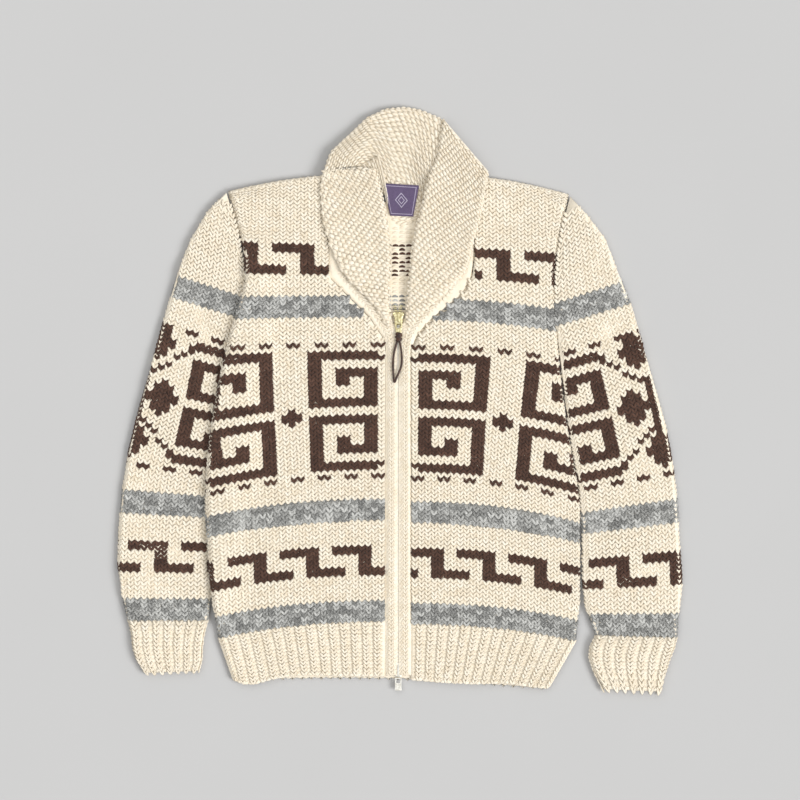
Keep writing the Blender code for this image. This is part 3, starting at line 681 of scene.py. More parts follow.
def spiral_rows() -> list[str]:
    """The thirteen rows of a square from its outer side inwards."""
    return [text for count, text in SPIRAL for _ in range(count)]


def in_square(row: int, column: int) -> bool:
    """Whether a stitch of a square is brown.

    Args:
        row: Row of the chart.
        column: 1 at the square's full bar, up to 11.

    Returns:
        True if it is brown.
    """
    if not 1 <= column <= 11:
        return False
    if LOW_SQUARE <= row < LOW_SQUARE + 13:
        return spiral_rows()[row - LOW_SQUARE][column - 1] == "#"
    if HIGH_SQUARE <= row < HIGH_SQUARE + 13:
        return spiral_rows()[12 - (row - HIGH_SQUARE)][column - 1] == "#"
    return False


def in_diamond(row: int, column: int, middle_row: int, middle: int, shape: dict[int, int]) -> bool:
    """Whether a stitch lies in a diamond that is widest at two rows.

    Args:
        row: Row of the chart.
        column: Column of the chart.
        middle_row: The diamond's upper middle row.
        middle: Its middle column.
        shape: Half widths by rows from the middle.

    Returns:
        True inside it.
    """
    half = shape.get(row - middle_row)
    return half is not None and abs(column - middle) <= half


def in_fret(row: int, foot: int, phase: int) -> bool:
    """Whether a stitch lies in the stepped fret.

    Args:
        row: Row of the chart.
        foot: The fret's lowest row.
        phase: Column counted from the start of a top bar, from 0 to 7.

    Returns:
        True if it is brown.
    """
    step = row - foot
    if not 0 <= step <= 6:
        return False
    top = phase in range(0, 6) and step >= 5
    upright = phase in (4, 5)
    base = phase in (4, 5, 6, 7, 0, 1) and step <= 1
    return top or upright or base


def grey_row(row: int) -> bool:
    """Whether a row is in one of the grey stripes."""
    return any(low <= row <= high for low, high in GREY_ROWS)


def body_yarn(side: Side, row: int, column: int) -> Yarn:
    """Yarn of a stitch of a front.

    Args:
        side: Which front.
        row: Row from the rib up.
        column: Column from the zip's band.

    Returns:
        The yarn.
    """
    if grey_row(row):
        return Yarn.GREY
    brown = in_square(row, 11 - column) if column <= 10 else in_square(row, column - 15)
    brown = brown or in_diamond(row, column, 49, 13, SMALL_DIAMOND)
    brown = brown or (row in (34, 65) and column % 4 in (0, 1))
    low = (7 - column % 8) if side is Side.RIGHT else (column + 1) % 8
    high = (7 - column % 8) if side is Side.RIGHT else column % 8
    brown = brown or in_fret(row, 11, low) or in_fret(row, 82, high)
    return Yarn.BROWN if brown else Yarn.CREAM


def sleeve_yarn(side: Side, row: int, column: int) -> Yarn:
    """Yarn of a stitch of a sleeve.

    Args:
        side: Which sleeve.
        row: Row from the cuff's end of the chart.
        column: Column inwards from the outer edge of its square.

    Returns:
        The yarn.
    """
    if grey_row(row):
        return Yarn.GREY
    brown = in_square(row, 10 - column)
    brown = brown or in_diamond(row, column, 50, -4, DIAMOND)
    brown = brown or in_diamond(row, column, 62, -6 - (column < -12) * 13, DIAMOND)
    brown = brown or in_diamond(row, column, 40, -7 - (column < -12) * 13, DIAMOND)
    step = min(row, 99 - row)
    brown = brown or (-6 <= column <= -1 and step == 37 - column + (column < -3))
    brown = brown or (column == -1 and step == 37)
    brown = brown or (column == -7 and 44 <= row <= 55)
    if side is Side.RIGHT:
        brown = brown or (row == 65 and column % 4 in (2, 3)) or (row == 34 and column % 4 in (3, 0))
        phase = (column + 5) % 8
    else:
        brown = brown or (row == 65 and column % 4 in (3, 0)) or (row == 34 and column % 4 in (0, 1))
        phase = (5 - column) % 8
    brown = brown or in_fret(row, 11, phase)
    return Yarn.BROWN if brown else Yarn.CREAM


# --- Surfaces and lattices -------------------------------------------------------------------------


@dataclass
class Lattice:
    """Cells of a piece with the row and column that each one has in its chart."""

    cells: Cells
    rows: Array
    columns: Array

    def only(self, keep: Array) -> "Lattice":
        """The cells that a mask keeps."""
        return Lattice(self.cells.only(keep), self.rows[keep], self.columns[keep])

    def dyed(self, rule: Callable[[int, int], Yarn]) -> "Lattice":
        """The same cells with the yarns of a chart.

        Args:
            rule: Gives the yarn of a row and a column.

        Returns:
            The cells.
        """
        self.cells.yarn = np.array([rule(int(r), int(c)).value for r, c in zip(self.rows, self.columns)], int)
        return self


def lattice(lines: Array, pitch: Array | float = 0.0, count: int = 0, turned: bool = False,
            measure: tuple[int, ...] = (0, 1, 2), backwards: bool = False) -> Lattice:
    """Split the strips between neighbouring lines of points into stitches.

    Args:
        lines: (rows + 1, samples, 3) points, each line starting at the edge that columns are counted from.
        pitch: Width of a stitch, one for all rows or one for each.
        count: A fixed number of columns, in place of the pitch.
        turned: Whether the columns run so that each cell has to be turned over to face outwards.
        measure: Axes that a line's length is measured on.
        backwards: Number the columns -1, -2, ... instead of 0, 1, ...

    Returns:
        The cells, in cream.
    """
    steps = np.linalg.norm(np.diff(lines[..., list(measure)], axis=1), axis=2)
    arc = np.concatenate([np.zeros((len(lines), 1)), np.cumsum(steps, axis=1)], 1)
    wide = np.broadcast_to(np.asarray(pitch, float), (len(lines),))
    corners: list[list[Array]] = [[], [], [], []]
    rows, columns = [], []
    for r in range(len(lines) - 1):
        size = float(wide[r])
        number = count or int(round((arc[r, -1] + arc[r + 1, -1]) / 2 / size))
        if number < 1:
            continue
        ends = []
        for line, along in ((lines[r], arc[r]), (lines[r + 1], arc[r + 1])):
            if count:
                at = np.linspace(0.0, along[-1], number + 1)
            else:
                fixed = max(number - 3, 0)
                rest = along[-1] - fixed * size
                last = rest * np.arange(1, number - fixed + 1) / (number - fixed)
                at = np.concatenate([np.arange(fixed + 1) * size, fixed * size + last])
            ends.append(np.stack([np.interp(at, along, line[:, a]) for a in range(3)], 1))
        low, high = ends
        for kept, part in zip(corners, (low[:-1], low[1:], high[:-1], high[1:])):
            kept.append(part)
        rows.append(np.full(number, r))
        columns.append(-1 - np.arange(number) if backwards else np.arange(number))
    a, b, c, d = (np.concatenate(part) for part in corners)
    if turned:
        a, b, c, d = b, a, d, c
    cells = Cells.from_corners(a, b, c, d, np.zeros(len(a), int))
    return Lattice(cells, np.concatenate(rows), np.concatenate(columns))


def resample(grid: Array, count: int, axis: int = 0) -> Array:
    """A grid of points with a new number of evenly spaced rows or columns.

    Args:
        grid: The points.
        count: The new number.
        axis: 0 for rows, 1 for columns.

    Returns:
        The new grid.
    """
    spread = np.linspace(0.0, grid.shape[axis] - 1.0, count)
    low = np.minimum(spread.astype(int), grid.shape[axis] - 2)
    part = (spread - low).reshape((-1, 1, 1) if axis == 0 else (1, -1, 1))
    return np.take(grid, low, axis) * (1.0 - part) + np.take(grid, low + 1, axis) * part


def between_rows(rows: Array, count: int) -> Array:
    """Rows of a table spread evenly over its length.

    Args:
        rows: The table.
        count: Number of rows wanted.

    Returns:
        The new rows.
    """
    spread = np.linspace(0.0, len(rows) - 1.0, count)
    own = np.arange(len(rows))
    return np.stack([np.interp(spread, own, column) for column in rows.T], 1)


def along_rows(grid: Array, pitch: float) -> Array:
    """A grid resampled so that its rows lie one pitch apart on the way.

    Args:
        grid: The points.
        pitch: Distance between rows.

    Returns:
        The new grid.
    """
    steps = np.linalg.norm(np.diff(grid, axis=0), axis=2).mean(1)
    arc = np.concatenate([[0.0], np.cumsum(steps)])
    count = max(2, int(round(arc[-1] / pitch)) + 1)
    at = np.linspace(0.0, arc[-1], count)
    out = np.empty((count, grid.shape[1], 3))
    for j in range(grid.shape[1]):
        for a in range(3):
            out[:, j, a] = np.interp(at, arc, grid[:, j, a])
    return out


def shell_piece(name: str, outside: Array, inside: Array, material: bpy.types.Material,
                ring: bool = False) -> bpy.types.Object:
    """The plain cloth under a piece's stitches, as a closed thin wall.

    Args:
        name: Name of the piece.
        outside: Grid of its upper face.
        inside: Grid of its lower face.
        material: Its finish.
        ring: Whether each row closes on itself.

    Returns:
        The new object.
    """
    rows, columns = outside.shape[:2]
    faces = wall_faces(rows, columns, ring)
    points = np.concatenate([outside.reshape(-1, 3), inside.reshape(-1, 3)])
    a, b, c, d = (points[faces[:, i]] for i in range(4))
    volume = (np.cross(a, b) * c).sum() + (np.cross(a, c) * d).sum()
    if volume < 0:
        faces = faces[:, ::-1]
    return mesh_object(name, points, faces, material)


def chevron_pad() -> Shape:
    """A thin closed chevron of the same yarn behind a stitch, so that no other yarn shows through.

    Returns:
        The template.
    """
    points = []
    for c in (-1.3, -3.2):
        for b in (-0.04, 1.0):
            for a, drop in ((-0.52, 0.0), (0.0, 0.3), (0.52, 0.0)):
                points.append((a, b - drop + 0.12, c))
    faces = [(0, 1, 4), (0, 4, 3), (1, 2, 5), (1, 5, 4), (6, 10, 7), (6, 9, 10), (7, 11, 8), (7, 10, 11)]
    for a, b in ((0, 1), (1, 2), (2, 5), (5, 4), (4, 3), (3, 0)):
        faces += [(b, a, a + 6), (b, a + 6, b + 6)]
    return Shape(np.array(points), np.array(faces), np.tile((0.25, 0.5), (12, 1)))


def raised(shape: Shape, wide: float = 1.0, up: float = 0.0) -> Shape:
    """A template made wider and lifted.

    Args:
        shape: The template.
        wide: Factor across.
        up: Lift outwards.

    Returns:
        The new template.
    """
    return Shape(shape.points * (wide, 1.0, 1.0) + (0.0, 0.0, up), shape.faces, shape.strand)


# --- Finishes ----------------------------------------------------------------------------------------


class Nodes:
    """A small hand for wiring a material's nodes."""

    def __init__(self, name: str) -> None:
        """Start a material with its principled shader.

        Args:
            name: Name of the material.
        """
        self.material = bpy.data.materials.new(name)
        self.material.use_nodes = True
        self.tree = self.material.node_tree
        self.shader = self.tree.nodes["Principled BSDF"]

    def add(self, kind: str, **values: object) -> bpy.types.Node:
        """Add a node.

        Args:
            kind: Its type.
            values: Properties, or inputs where a name starts with in_.

        Returns:
            The node.
        """
        node = self.tree.nodes.new(kind)
        for key, value in values.items():
            if key.startswith("in_"):
                node.inputs[key[3:].replace("_", " ")].default_value = value
            else:
                setattr(node, key, value)
        return node

    def wire(self, source: bpy.types.NodeSocket, target: bpy.types.NodeSocket) -> None:
        """Link two sockets."""
        self.tree.links.new(source, target)

    def math(self, operation: str, *values: object) -> bpy.types.NodeSocket:
        """A math node on numbers or sockets.

        Args:
            operation: What it does.
            values: Its inputs.

        Returns:
            Its output.
        """
        node = self.add("ShaderNodeMath", operation=operation)
        for socket, value in zip(node.inputs, values):
            if isinstance(value, bpy.types.NodeSocket):
                self.wire(value, socket)
            else:
                socket.default_value = value
        return node.outputs[0]

    def noise(self, scale: float, detail: float = 3.0, rough: float = 0.55,
              where: bpy.types.NodeSocket | None = None) -> bpy.types.NodeSocket:
        """Noise on the object's own coordinates, or on a vector.

        Args:
            scale: Size of its grain.
            detail: Octaves.
            rough: Weight of the fine octaves.
            where: The vector, if not the object's.

        Returns:
            Its value.
        """
        node = self.add("ShaderNodeTexNoise", in_Scale=scale, in_Detail=detail, in_Roughness=rough)
        if where is None:
            where = self.add("ShaderNodeTexCoord").outputs["Object"]
        self.wire(where, node.inputs["Vector"])
        return node.outputs["Fac"]

    def ramp(self, value: bpy.types.NodeSocket,
             stops: Sequence[tuple[float, tuple[float, ...]]]) -> bpy.types.NodeSocket:
        """A colour ramp.

        Args:
            value: What it reads.
            stops: Places and colours.

        Returns:
            Its colour.
        """
        node = self.add("ShaderNodeValToRGB")
        ramp = node.color_ramp
        while len(ramp.elements) < len(stops):
            ramp.elements.new(0.5)
        for element, (place, colour) in zip(ramp.elements, stops):
            element.position = place
            element.color = (*colour[:3], 1.0)
        self.wire(value, node.inputs["Fac"])
        return node.outputs["Color"]

    def mix(self, kind: str, factor: object, one: object, two: object) -> bpy.types.NodeSocket:
        """A colour mix.

        Args:
            kind: How the colours blend.
            factor: Share of the second.
            one: First colour.
            two: Second colour.

        Returns:
            The mixed colour.
        """
        node = self.add("ShaderNodeMix", data_type="RGBA", blend_type=kind)
        for socket, value in ((node.inputs[0], factor), (node.inputs[6], one), (node.inputs[7], two)):
            if isinstance(value, bpy.types.NodeSocket):
                self.wire(value, socket)
            else:
                socket.default_value = value if isinstance(value, float) else (*value[:3], 1.0)
        return node.outputs[2]

    def bump(self, height: bpy.types.NodeSocket, distance: float, strength: float = 1.0) -> None:
        """Send a height to the shader's normal.

        Args:
            height: The height.
            distance: Metres for a height of 1.
            strength: Weight of the effect.
        """
        node = self.add("ShaderNodeBump", in_Strength=strength, in_Distance=distance)
        self.wire(height, node.inputs["Height"])
        self.wire(node.outputs["Normal"], self.shader.inputs["Normal"])


@dataclass(frozen=True)
class WoolFinish:
    """Spun wool: its colours from deep to light, and how mottled it is."""

    name: str
    deep: tuple[float, float, float]
    body: tuple[float, float, float]
    light: tuple[float, float, float]
    heather: float
    sheen: float

    def make(self, plies: bool = True) -> bpy.types.Material:
        """Build the material.

        Args:
            plies: Whether the piece has a strand attribute that twisted plies can follow.

        Returns:
            The material.
        """
        n = Nodes(self.name if plies else f"{self.name}_plain")
        patches = n.noise(90.0, 3.0)
        fibres = n.noise(1500.0, 4.0, 0.65)
        if self.heather > 0.0:
            flecks = n.noise(900.0, 3.0, 0.6)
            value = n.math("ADD", n.math("MULTIPLY", flecks, 0.92), n.math("MULTIPLY", patches, 0.08))
            edges = (0.36, 0.5, 0.64)
        else:
            value = n.math("ADD", n.math("MULTIPLY", fibres, 0.55), n.math("MULTIPLY", patches, 0.45))
            edges = (0.3, 0.5, 0.7)
        height = n.math("MULTIPLY", fibres, 0.5)
        if plies:
            strand = n.add("ShaderNodeAttribute", attribute_name="strand").outputs["Vector"]
            parts = n.add("ShaderNodeSeparateXYZ")
            n.wire(strand, parts.inputs[0])
            shade = n.math("SUBTRACT", parts.outputs[2], 0.5)
            value = n.math("ADD", value, n.math("MULTIPLY", shade, 0.16 + 0.1 * self.heather))
            twist = n.math("ADD", n.math("MULTIPLY", parts.outputs[0], 12.566),
                           n.math("MULTIPLY", parts.outputs[1], 16.0))
            ply = n.math("ABSOLUTE", n.math("SINE", twist))
            height = n.math("ADD", height, n.math("MULTIPLY", ply, 0.55))
        colour = n.ramp(value, ((edges[0], self.deep), (edges[1], self.body), (edges[2], self.light)))
        n.wire(colour, n.shader.inputs["Base Color"])
        n.shader.inputs["Roughness"].default_value = 0.92
        n.shader.inputs["Specular IOR Level"].default_value = 0.18
        n.shader.inputs["Sheen Weight"].default_value = self.sheen
        n.shader.inputs["Sheen Roughness"].default_value = 0.6
        n.bump(height, 0.0006, 0.8)
        return n.material


@dataclass(frozen=True)
class MetalFinish:
    """Cast and plated metal, duller where it is handled less."""

    name: str
    colour: tuple[float, float, float]
    dull: tuple[float, float, float]
    rough: float

    def make(self) -> bpy.types.Material:
        """Build the material.

        Returns:
            The material.
        """
        n = Nodes(self.name)
        stains = n.noise(420.0, 4.0, 0.6)
        n.wire(n.ramp(stains, ((0.38, self.dull), (0.62, self.colour))), n.shader.inputs["Base Color"])
        n.shader.inputs["Metallic"].default_value = 1.0
        rough = n.math("ADD", n.math("MULTIPLY", n.noise(900.0, 2.0), 0.22), self.rough - 0.1)
        n.wire(rough, n.shader.inputs["Roughness"])
        n.bump(n.noise(2400.0, 3.0), 0.0001, 0.5)
        return n.material


@dataclass(frozen=True)
class LeatherFinish:
    """Dark leather lace with fine grain and rubbed ridges."""

    name: str = "brown_leather_lace"
    deep: tuple[float, float, float] = (0.018, 0.006, 0.003)
    worn: tuple[float, float, float] = (0.075, 0.026, 0.012)

    def make(self) -> bpy.types.Material:
        """Build the material.

        Returns:
            The material.
        """
        n = Nodes(self.name)
        grain = n.add("ShaderNodeTexVoronoi", in_Scale=1400.0)
        n.wire(n.add("ShaderNodeTexCoord").outputs["Object"], grain.inputs["Vector"])
        wear = n.noise(260.0, 4.0)
        n.wire(n.ramp(wear, ((0.35, self.deep), (0.7, self.worn))), n.shader.inputs["Base Color"])
        n.shader.inputs["Roughness"].default_value = 0.46
        n.bump(grain.outputs["Distance"], 0.0002, 0.6)
        return n.material


@dataclass(frozen=True)
class TapeFinish:
    """Woven zip tape with a herringbone."""

    name: str = "zip_tape_weave"
    colour: tuple[float, float, float] = (0.72, 0.66, 0.54)

    def make(self) -> bpy.types.Material:
        """Build the material.

        Returns:
            The material.
        """
        n = Nodes(self.name)
        where = n.add("ShaderNodeTexCoord").outputs["Object"]
        parts = n.add("ShaderNodeSeparateXYZ")
        n.wire(where, parts.inputs[0])
        zig = n.math("PINGPONG", parts.outputs[0], 0.002)
        rows = n.math("SINE", n.math("MULTIPLY", n.math("ADD", parts.outputs[1], zig), 6000.0))
        dark = tuple(0.7 * part for part in self.colour)
        n.wire(n.ramp(n.math("ADD", n.math("MULTIPLY", rows, 0.25), n.math("MULTIPLY", n.noise(300.0), 0.9)),
                      ((0.2, dark), (0.6, self.colour))), n.shader.inputs["Base Color"])
        n.shader.inputs["Roughness"].default_value = 0.85
        n.bump(rows, 0.00015, 0.5)
        return n.material


@dataclass(frozen=True)
class LabelFinish:
    """Purple woven label with a pale border line and a plain lozenge."""

    name: str = "label_weave"
    ground: tuple[float, float, float] = (0.105, 0.07, 0.155)
    thread: tuple[float, float, float] = (0.50, 0.46, 0.58)

    def make(self) -> bpy.types.Material:
        """Build the material; the strand attribute gives places across and down the label, from 0 to 1.

        Returns:
            The material.
        """
        n = Nodes(self.name)
        strand = n.add("ShaderNodeAttribute", attribute_name="strand").outputs["Vector"]
        parts = n.add("ShaderNodeSeparateXYZ")
        n.wire(strand, parts.inputs[0])
        x = n.math("ABSOLUTE", n.math("SUBTRACT", parts.outputs[0], 0.5))
        y = n.math("ABSOLUTE", n.math("SUBTRACT", parts.outputs[1], 0.5))
        span = n.math("ADD", x, n.math("MULTIPLY", y, 0.9))
        ring = n.math("COMPARE", span, 0.2, 0.016)
        inner = n.math("COMPARE", span, 0.1, 0.014)
        edge = n.math("COMPARE", n.math("MAXIMUM", x, y), 0.43, 0.008)
        lines = n.math("MINIMUM", n.math("ADD", n.math("ADD", ring, inner), edge), 1.0)
        warp = n.math("SINE", n.math("MULTIPLY", parts.outputs[0], 420.0))
        weft = n.math("SINE", n.math("MULTIPLY", parts.outputs[1], 360.0))
        weave = n.math("MULTIPLY", warp, weft)
        soft = n.ramp(n.noise(500.0), ((0.3, tuple(0.75 * c for c in self.ground)), (0.7, self.ground)))
        woven = n.mix("MIX", n.math("MULTIPLY", lines, 0.8), soft, self.thread)
        n.wire(woven, n.shader.inputs["Base Color"])
        n.shader.inputs["Roughness"].default_value = 0.7
        n.shader.inputs["Sheen Weight"].default_value = 0.3
        n.bump(n.math("ADD", weave, lines), 0.0001, 0.6)
        return n.material


CREAM = WoolFinish(
    "cream_wool_yarn", (0.79, 0.685, 0.52), (0.87, 0.785, 0.64), (0.915, 0.85, 0.73), 0.0, 0.22
)
BROWN = WoolFinish(
    "brown_wool_yarn", (0.044, 0.021, 0.014), (0.078, 0.039, 0.026), (0.125, 0.064, 0.044), 0.0, 0.1
)
GREY = WoolFinish(
    "grey_heather_yarn", (0.15, 0.15, 0.145), (0.34, 0.34, 0.325), (0.60, 0.60, 0.575), 1.0, 0.12
)
BRASS = MetalFinish("brass_plate", (0.80, 0.73, 0.47), (0.47, 0.41, 0.21), 0.32)
STEEL = MetalFinish("pale_metal_plate", (0.80, 0.79, 0.74), (0.56, 0.54, 0.48), 0.38)


# --- Pieces --------------------------------------------------------------------------------------------


@dataclass
class Kit:
    """Materials and the knitter that all pieces share."""

    wools: dict[Yarn, bpy.types.Material]
    plain: dict[Yarn, bpy.types.Material]
    knitter: Knitter
    brass: bpy.types.Material
    steel: bpy.types.Material
    leather: bpy.types.Material
    tape: bpy.types.Material
    label: bpy.types.Material

    @staticmethod
    def make() -> "Kit":
        """Build every finish once.
        """
        finishes = {Yarn.CREAM: CREAM, Yarn.BROWN: BROWN, Yarn.GREY: GREY}
        wools = {yarn: finish.make() for yarn, finish in finishes.items()}
        plain = {yarn: finish.make(False) for yarn, finish in finishes.items()}
        return Kit(wools, plain, Knitter(wools), BRASS.make(), STEEL.make(), LeatherFinish().make(),
                   TapeFinish().make(), LabelFinish().make())


def hand_over(shell: bpy.types.Object, stitches: Sequence[bpy.types.Object], node: str) -> None:
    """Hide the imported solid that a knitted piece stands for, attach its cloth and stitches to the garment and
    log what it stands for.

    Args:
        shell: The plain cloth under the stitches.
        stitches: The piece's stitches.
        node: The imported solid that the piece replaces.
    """
    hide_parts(node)
    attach(shell, "garment")
    for piece in stitches:
        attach(piece, "garment")
    LOG.info("%s stands for %s", shell.name, node)


def course_xy(side: Side, course: float, x: Array) -> Array:
    """Height of a front's or the back's course.

    Args:
        side: Which half of the body.
        course: The course's height at the zip.
        x: Places across.

    Returns:
        y at each place.
    """
    outer = float(read(SIDES, course - float(read(COURSES, course, side.column)), side.column))
    inner = float(read(NECKLINES[side], min(course, 48.0), 1))
    share = np.clip((x - outer) / (inner - outer), 0.0, 1.0)
    sink = SINK[side] * min(max((TOP_COURSE - course) / 60.0, 0.0), 1.0)
    return course - sink - float(read(COURSES, course, side.column)) * (1.0 - share) ** DROOP_POWER


def side_x(side: Side, course: float) -> float:
    """Where a course meets the body's side edge.

    Args:
        side: Which half of the body.
        course: The course's height at the zip.

    Returns:
        x of the edge.
    """
    return float(read(SIDES, course - float(read(COURSES, course, side.column)), side.column))


@dataclass
class FrontPanel:
    """A knitted front: its patterned stitches over plain cloth."""

    side: Side
    band_edge: float
    flat_gap: float = 3.0

    def lines(self) -> Array:
        """Courses from the band's edge to the rolled side edge, from the rib up.

        Returns:
            Points of each course.
        """
        rows = []
        for number in range(BODY_ROWS + 1):
            course = RIB_COURSE + ROW * number
            outer = side_x(self.side, course)
            rim = 0.94 + 0.06 * np.sin(np.linspace(0, math.pi / 2, 12))
            reach = np.concatenate([np.linspace(0.0, 0.94, 46)[:-1], rim])
            x = self.band_edge + (outer - self.band_edge) * reach
            y = course_xy(self.side, course, x)
            z = FRONT_Z + CLOTH + lift(x, y) + relief(x, y)
            z = z - edge_drop(np.abs(x - outer), EDGE_ROLL) * EDGE_ARC * 0.8
            z = z - edge_drop(np.full_like(x, TOP_COURSE - course), 5.0)
            rows.append(np.stack([x, y, z], 1))
        return np.array(rows)

    def build(self, kit: Kit) -> None:
        """Build and dress the panel.

        Args:
            kit: The shared finishes and the knitter.
        """
        middle = RIB_COURSE + ROW * (np.arange(BODY_ROWS + 1) + 0.5)
        pitch = read(GAUGE, middle, self.side.column)
        net = lattice(self.lines(), pitch, turned=self.side is Side.RIGHT, measure=(0, 2))
        centre = net.cells.foot + net.cells.up / 2
        edge = read(NECKLINES[self.side], centre[:, 1], 1)
        net = net.only((centre[:, 0] - edge) * self.side.value > self.flat_gap)
        net = net.dyed(partial(body_yarn, self.side))
        # Single dark stitches keep their bare V. Dark areas get a filling under their stitches.
        dyed = net.cells.only((net.cells.yarn != Yarn.CREAM.value) & ~np.isin(net.rows, (34, 65)))
        sets = [(net.cells, knit_shape()), (dyed, chevron_pad())]
        stitches = kit.knitter.knit(f"front_{self.side.word}", sets)
        shell = self.shell(kit)
        hand_over(shell, stitches, f"front_{self.side.word}")

    def shell(self, kit: Kit) -> bpy.types.Object:
        """The panel's plain cloth, inside the rims of its stitches.

        Args:
            kit: The shared finishes and the knitter.

        Returns:
            The new object.
        """
        top, low = [], []
        for course in np.linspace(TOP_COURSE - 2.0, RIB_COURSE, 56):
            outer = side_x(self.side, course) - 2.2 * self.side.value
            inner = float(read(NECKLINES[self.side], course, 1)) + 0.5 * self.side.value
            x = np.linspace(outer, inner, 30) if self.side is Side.RIGHT else np.linspace(inner, outer, 30)
            y = course_xy(self.side, course, x)
            base = FRONT_Z + lift(x, y)
            z = base + CLOTH - SHELL_DEPTH + relief(x, y) * 0.9
            z = z - edge_drop(np.abs(x - outer), 3.0) * 0.8
            z = z - edge_drop(np.full_like(x, TOP_COURSE - course), 5.0)
            z = np.maximum(z, base + 0.8)
            top.append(np.stack([x, y, z], 1))
            low.append(np.stack([x, y, base], 1))
        name = f"front_{self.side.word}_cloth"
        return shell_piece(name, np.array(top), np.array(low), kit.plain[Yarn.CREAM])


@dataclass
class BackPanel:
    """The back: seen through the neck from inside, and all over from below."""

    courses: int = 86
    stitches: int = 40

    def neck(self, x: Array) -> Array:
        """Height of the back's neckline at x."""
        part = np.minimum(np.abs(x - BACK_NECK_X) / BACK_NECK_HALF, 1.4)
        return BACK_NECK_Y + BACK_NECK_RISE * part ** 2.4

    def point(self, course: float, x: Array, z: Array | float) -> Array:
        """Points of a course of the back, pressed down under the neckline near its top.

        Args:
            course: The course's height at the zip.
            x: Places across.
            z: Height off the surface.

        Returns:
            The points.
        """
        part = smooth((x - ZIP_X + 60.0) / 120.0)
        y = course_xy(Side.RIGHT, course, x) * (1.0 - part) + course_xy(Side.LEFT, course, x) * part
        neck = self.neck(x)
        top, foot = (course_xy(Side.RIGHT, line, x) * (1.0 - part) + course_xy(Side.LEFT, line, x) * part
                     for line in (TOP_COURSE, 199.0))
        part = np.clip((y - foot) / np.maximum(top - foot, 1.0), 0.0, 1.0)
        y = np.where(y > foot, foot + (np.minimum(top, neck) - foot) * part, y)
        return np.stack([x, y, np.broadcast_to(z, x.shape)], 1)

    def build(self, kit: Kit) -> None:
        """Build and dress the back.

        Args:
            kit: The shared finishes and the knitter.
        """
        lines = []
        for course in np.linspace(RIB_COURSE, TOP_COURSE - 1.0, self.courses + 1):
            right, left = side_x(Side.RIGHT, course), side_x(Side.LEFT, course)
            swing = np.sin(np.linspace(-math.pi / 2, math.pi / 2, 60))
            reach = 0.5 + 0.5 * np.sign(swing) * np.abs(swing) ** 0.8
            x = right + (left - right) * reach
            line = self.point(course, x, 0.0)
            away = np.minimum(x - right, left - x)
            line[:, 2] = lift(x, line[:, 1]) + edge_drop(away, EDGE_ROLL)
            lines.append(line)
        net = lattice(np.array(lines), count=self.stitches, turned=True)
        net = net.dyed(self.yarn)
        sets = [(net.cells, raised(knit_shape(False), 1.0, -1.0))]
        # The inside that shows through the neck: rows of small bumps, with floats of brown.
        sets.append((self.inner_cells(), raised(purl_shape(1.7), 1.12, 0.1)))
        stitches = kit.knitter.knit("back", sets)
        top, low = [], []
        for course in np.linspace(TOP_COURSE - 2.0, RIB_COURSE, 50):
            right, left = side_x(Side.RIGHT, course) + 2.2, side_x(Side.LEFT, course) - 2.2
            x = np.linspace(right, left, 50)
            high = self.point(course, x, 0.0)
            high[:, 1] += 34.0 * smooth((course - 199.0) / 90.0) * np.exp(-((x - BACK_NECK_X) / 42.0) ** 4)
            base = lift(x, high[:, 1])
            away = np.minimum(x - right, left - x)
            deep = high.copy()
            high[:, 2] = base + CLOTH - 0.9
            deep[:, 2] = base + 1.7 + edge_drop(away, 3.0) * 0.6
            top.append(high)
            low.append(deep)
        shell = shell_piece("back_cloth", np.array(top), np.array(low), kit.plain[Yarn.CREAM])
        hand_over(shell, stitches, "back")

    @staticmethod
    def yarn(row: int, column: int) -> Yarn:
        """Chart of the back: the fronts' bands and squares carried round on fewer stitches.

        Args:
            row: Row from the rib up.
            column: Column from the wearer's right.

        Returns:
            The yarn.
        """
        row = int(row * BODY_ROWS / BackPanel.courses)
        across = abs(column - (BackPanel.stitches - 1) / 2)
        k = int(across * 48 / BackPanel.stitches)
        if grey_row(row):
            return Yarn.GREY
        brown = in_square(row, 11 - k) if k <= 10 else in_square(row, k - 12)
        brown = brown or (row in (34, 65) and column % 4 in (0, 1))
        brown = brown or in_fret(row, 11, column % 8) or in_fret(row, 82, column % 8)
        return Yarn.BROWN if brown else Yarn.CREAM

    def inner_cells(self) -> Cells:
        """Cells of the inside of the back below the neck opening.

        Returns:
            The cells.
        """
        lines = []
        for y in np.arange(46.0, 246.0, 5.75):
            x = np.linspace(-104.0, 112.0, 40)
            top = self.neck(x)
            line = np.stack([x, np.minimum(y + 0 * x, top), np.full_like(x, CLOTH - 0.1)], 1)
            lines.append(line)
        net = lattice(np.array(lines), 9.3)
        centre = net.cells.foot
        tall = np.linalg.norm(net.cells.up, axis=1) > 3.0
        net = net.only((centre[:, 1] < self.neck(centre[:, 0]) - 6.0) & tall)
        net = net.dyed(self.inner_yarn)
        return net.cells

    @staticmethod
    def inner_yarn(row: int, column: int) -> Yarn:
        """Floats of the fret and the stripe on the inside.

        Args:
            row: Row of the inside's own cells.
            column: Their column.

        Returns:
            The yarn.
        """
        height = 46.0 + 5.75 * row
        if 118.0 < height < 141.0:
            return Yarn.GREY
        if 163.0 < height < 210.0 and (row % 2 == 0 or (row // 2 + column) % 2 == 0):
            return Yarn.BROWN
        return Yarn.CREAM


def rib_sets(net: Lattice, fine: bool = True) -> list[tuple[Cells, Shape]]:
    """Knit columns standing proud and purl columns set back, for one-and-one ribbing.

    Args:
        net: The rib's cells.
        fine: Whether it shows.

    Returns:
        Cells with their templates.
    """
    knit = net.columns % 2 == 0
    return [(net.cells.only(knit), raised(knit_shape(fine), 1.16, 0.1 if fine else -0.9)),
            (net.cells.only(~knit), raised(purl_shape(1.2), 0.9, -2.1))]


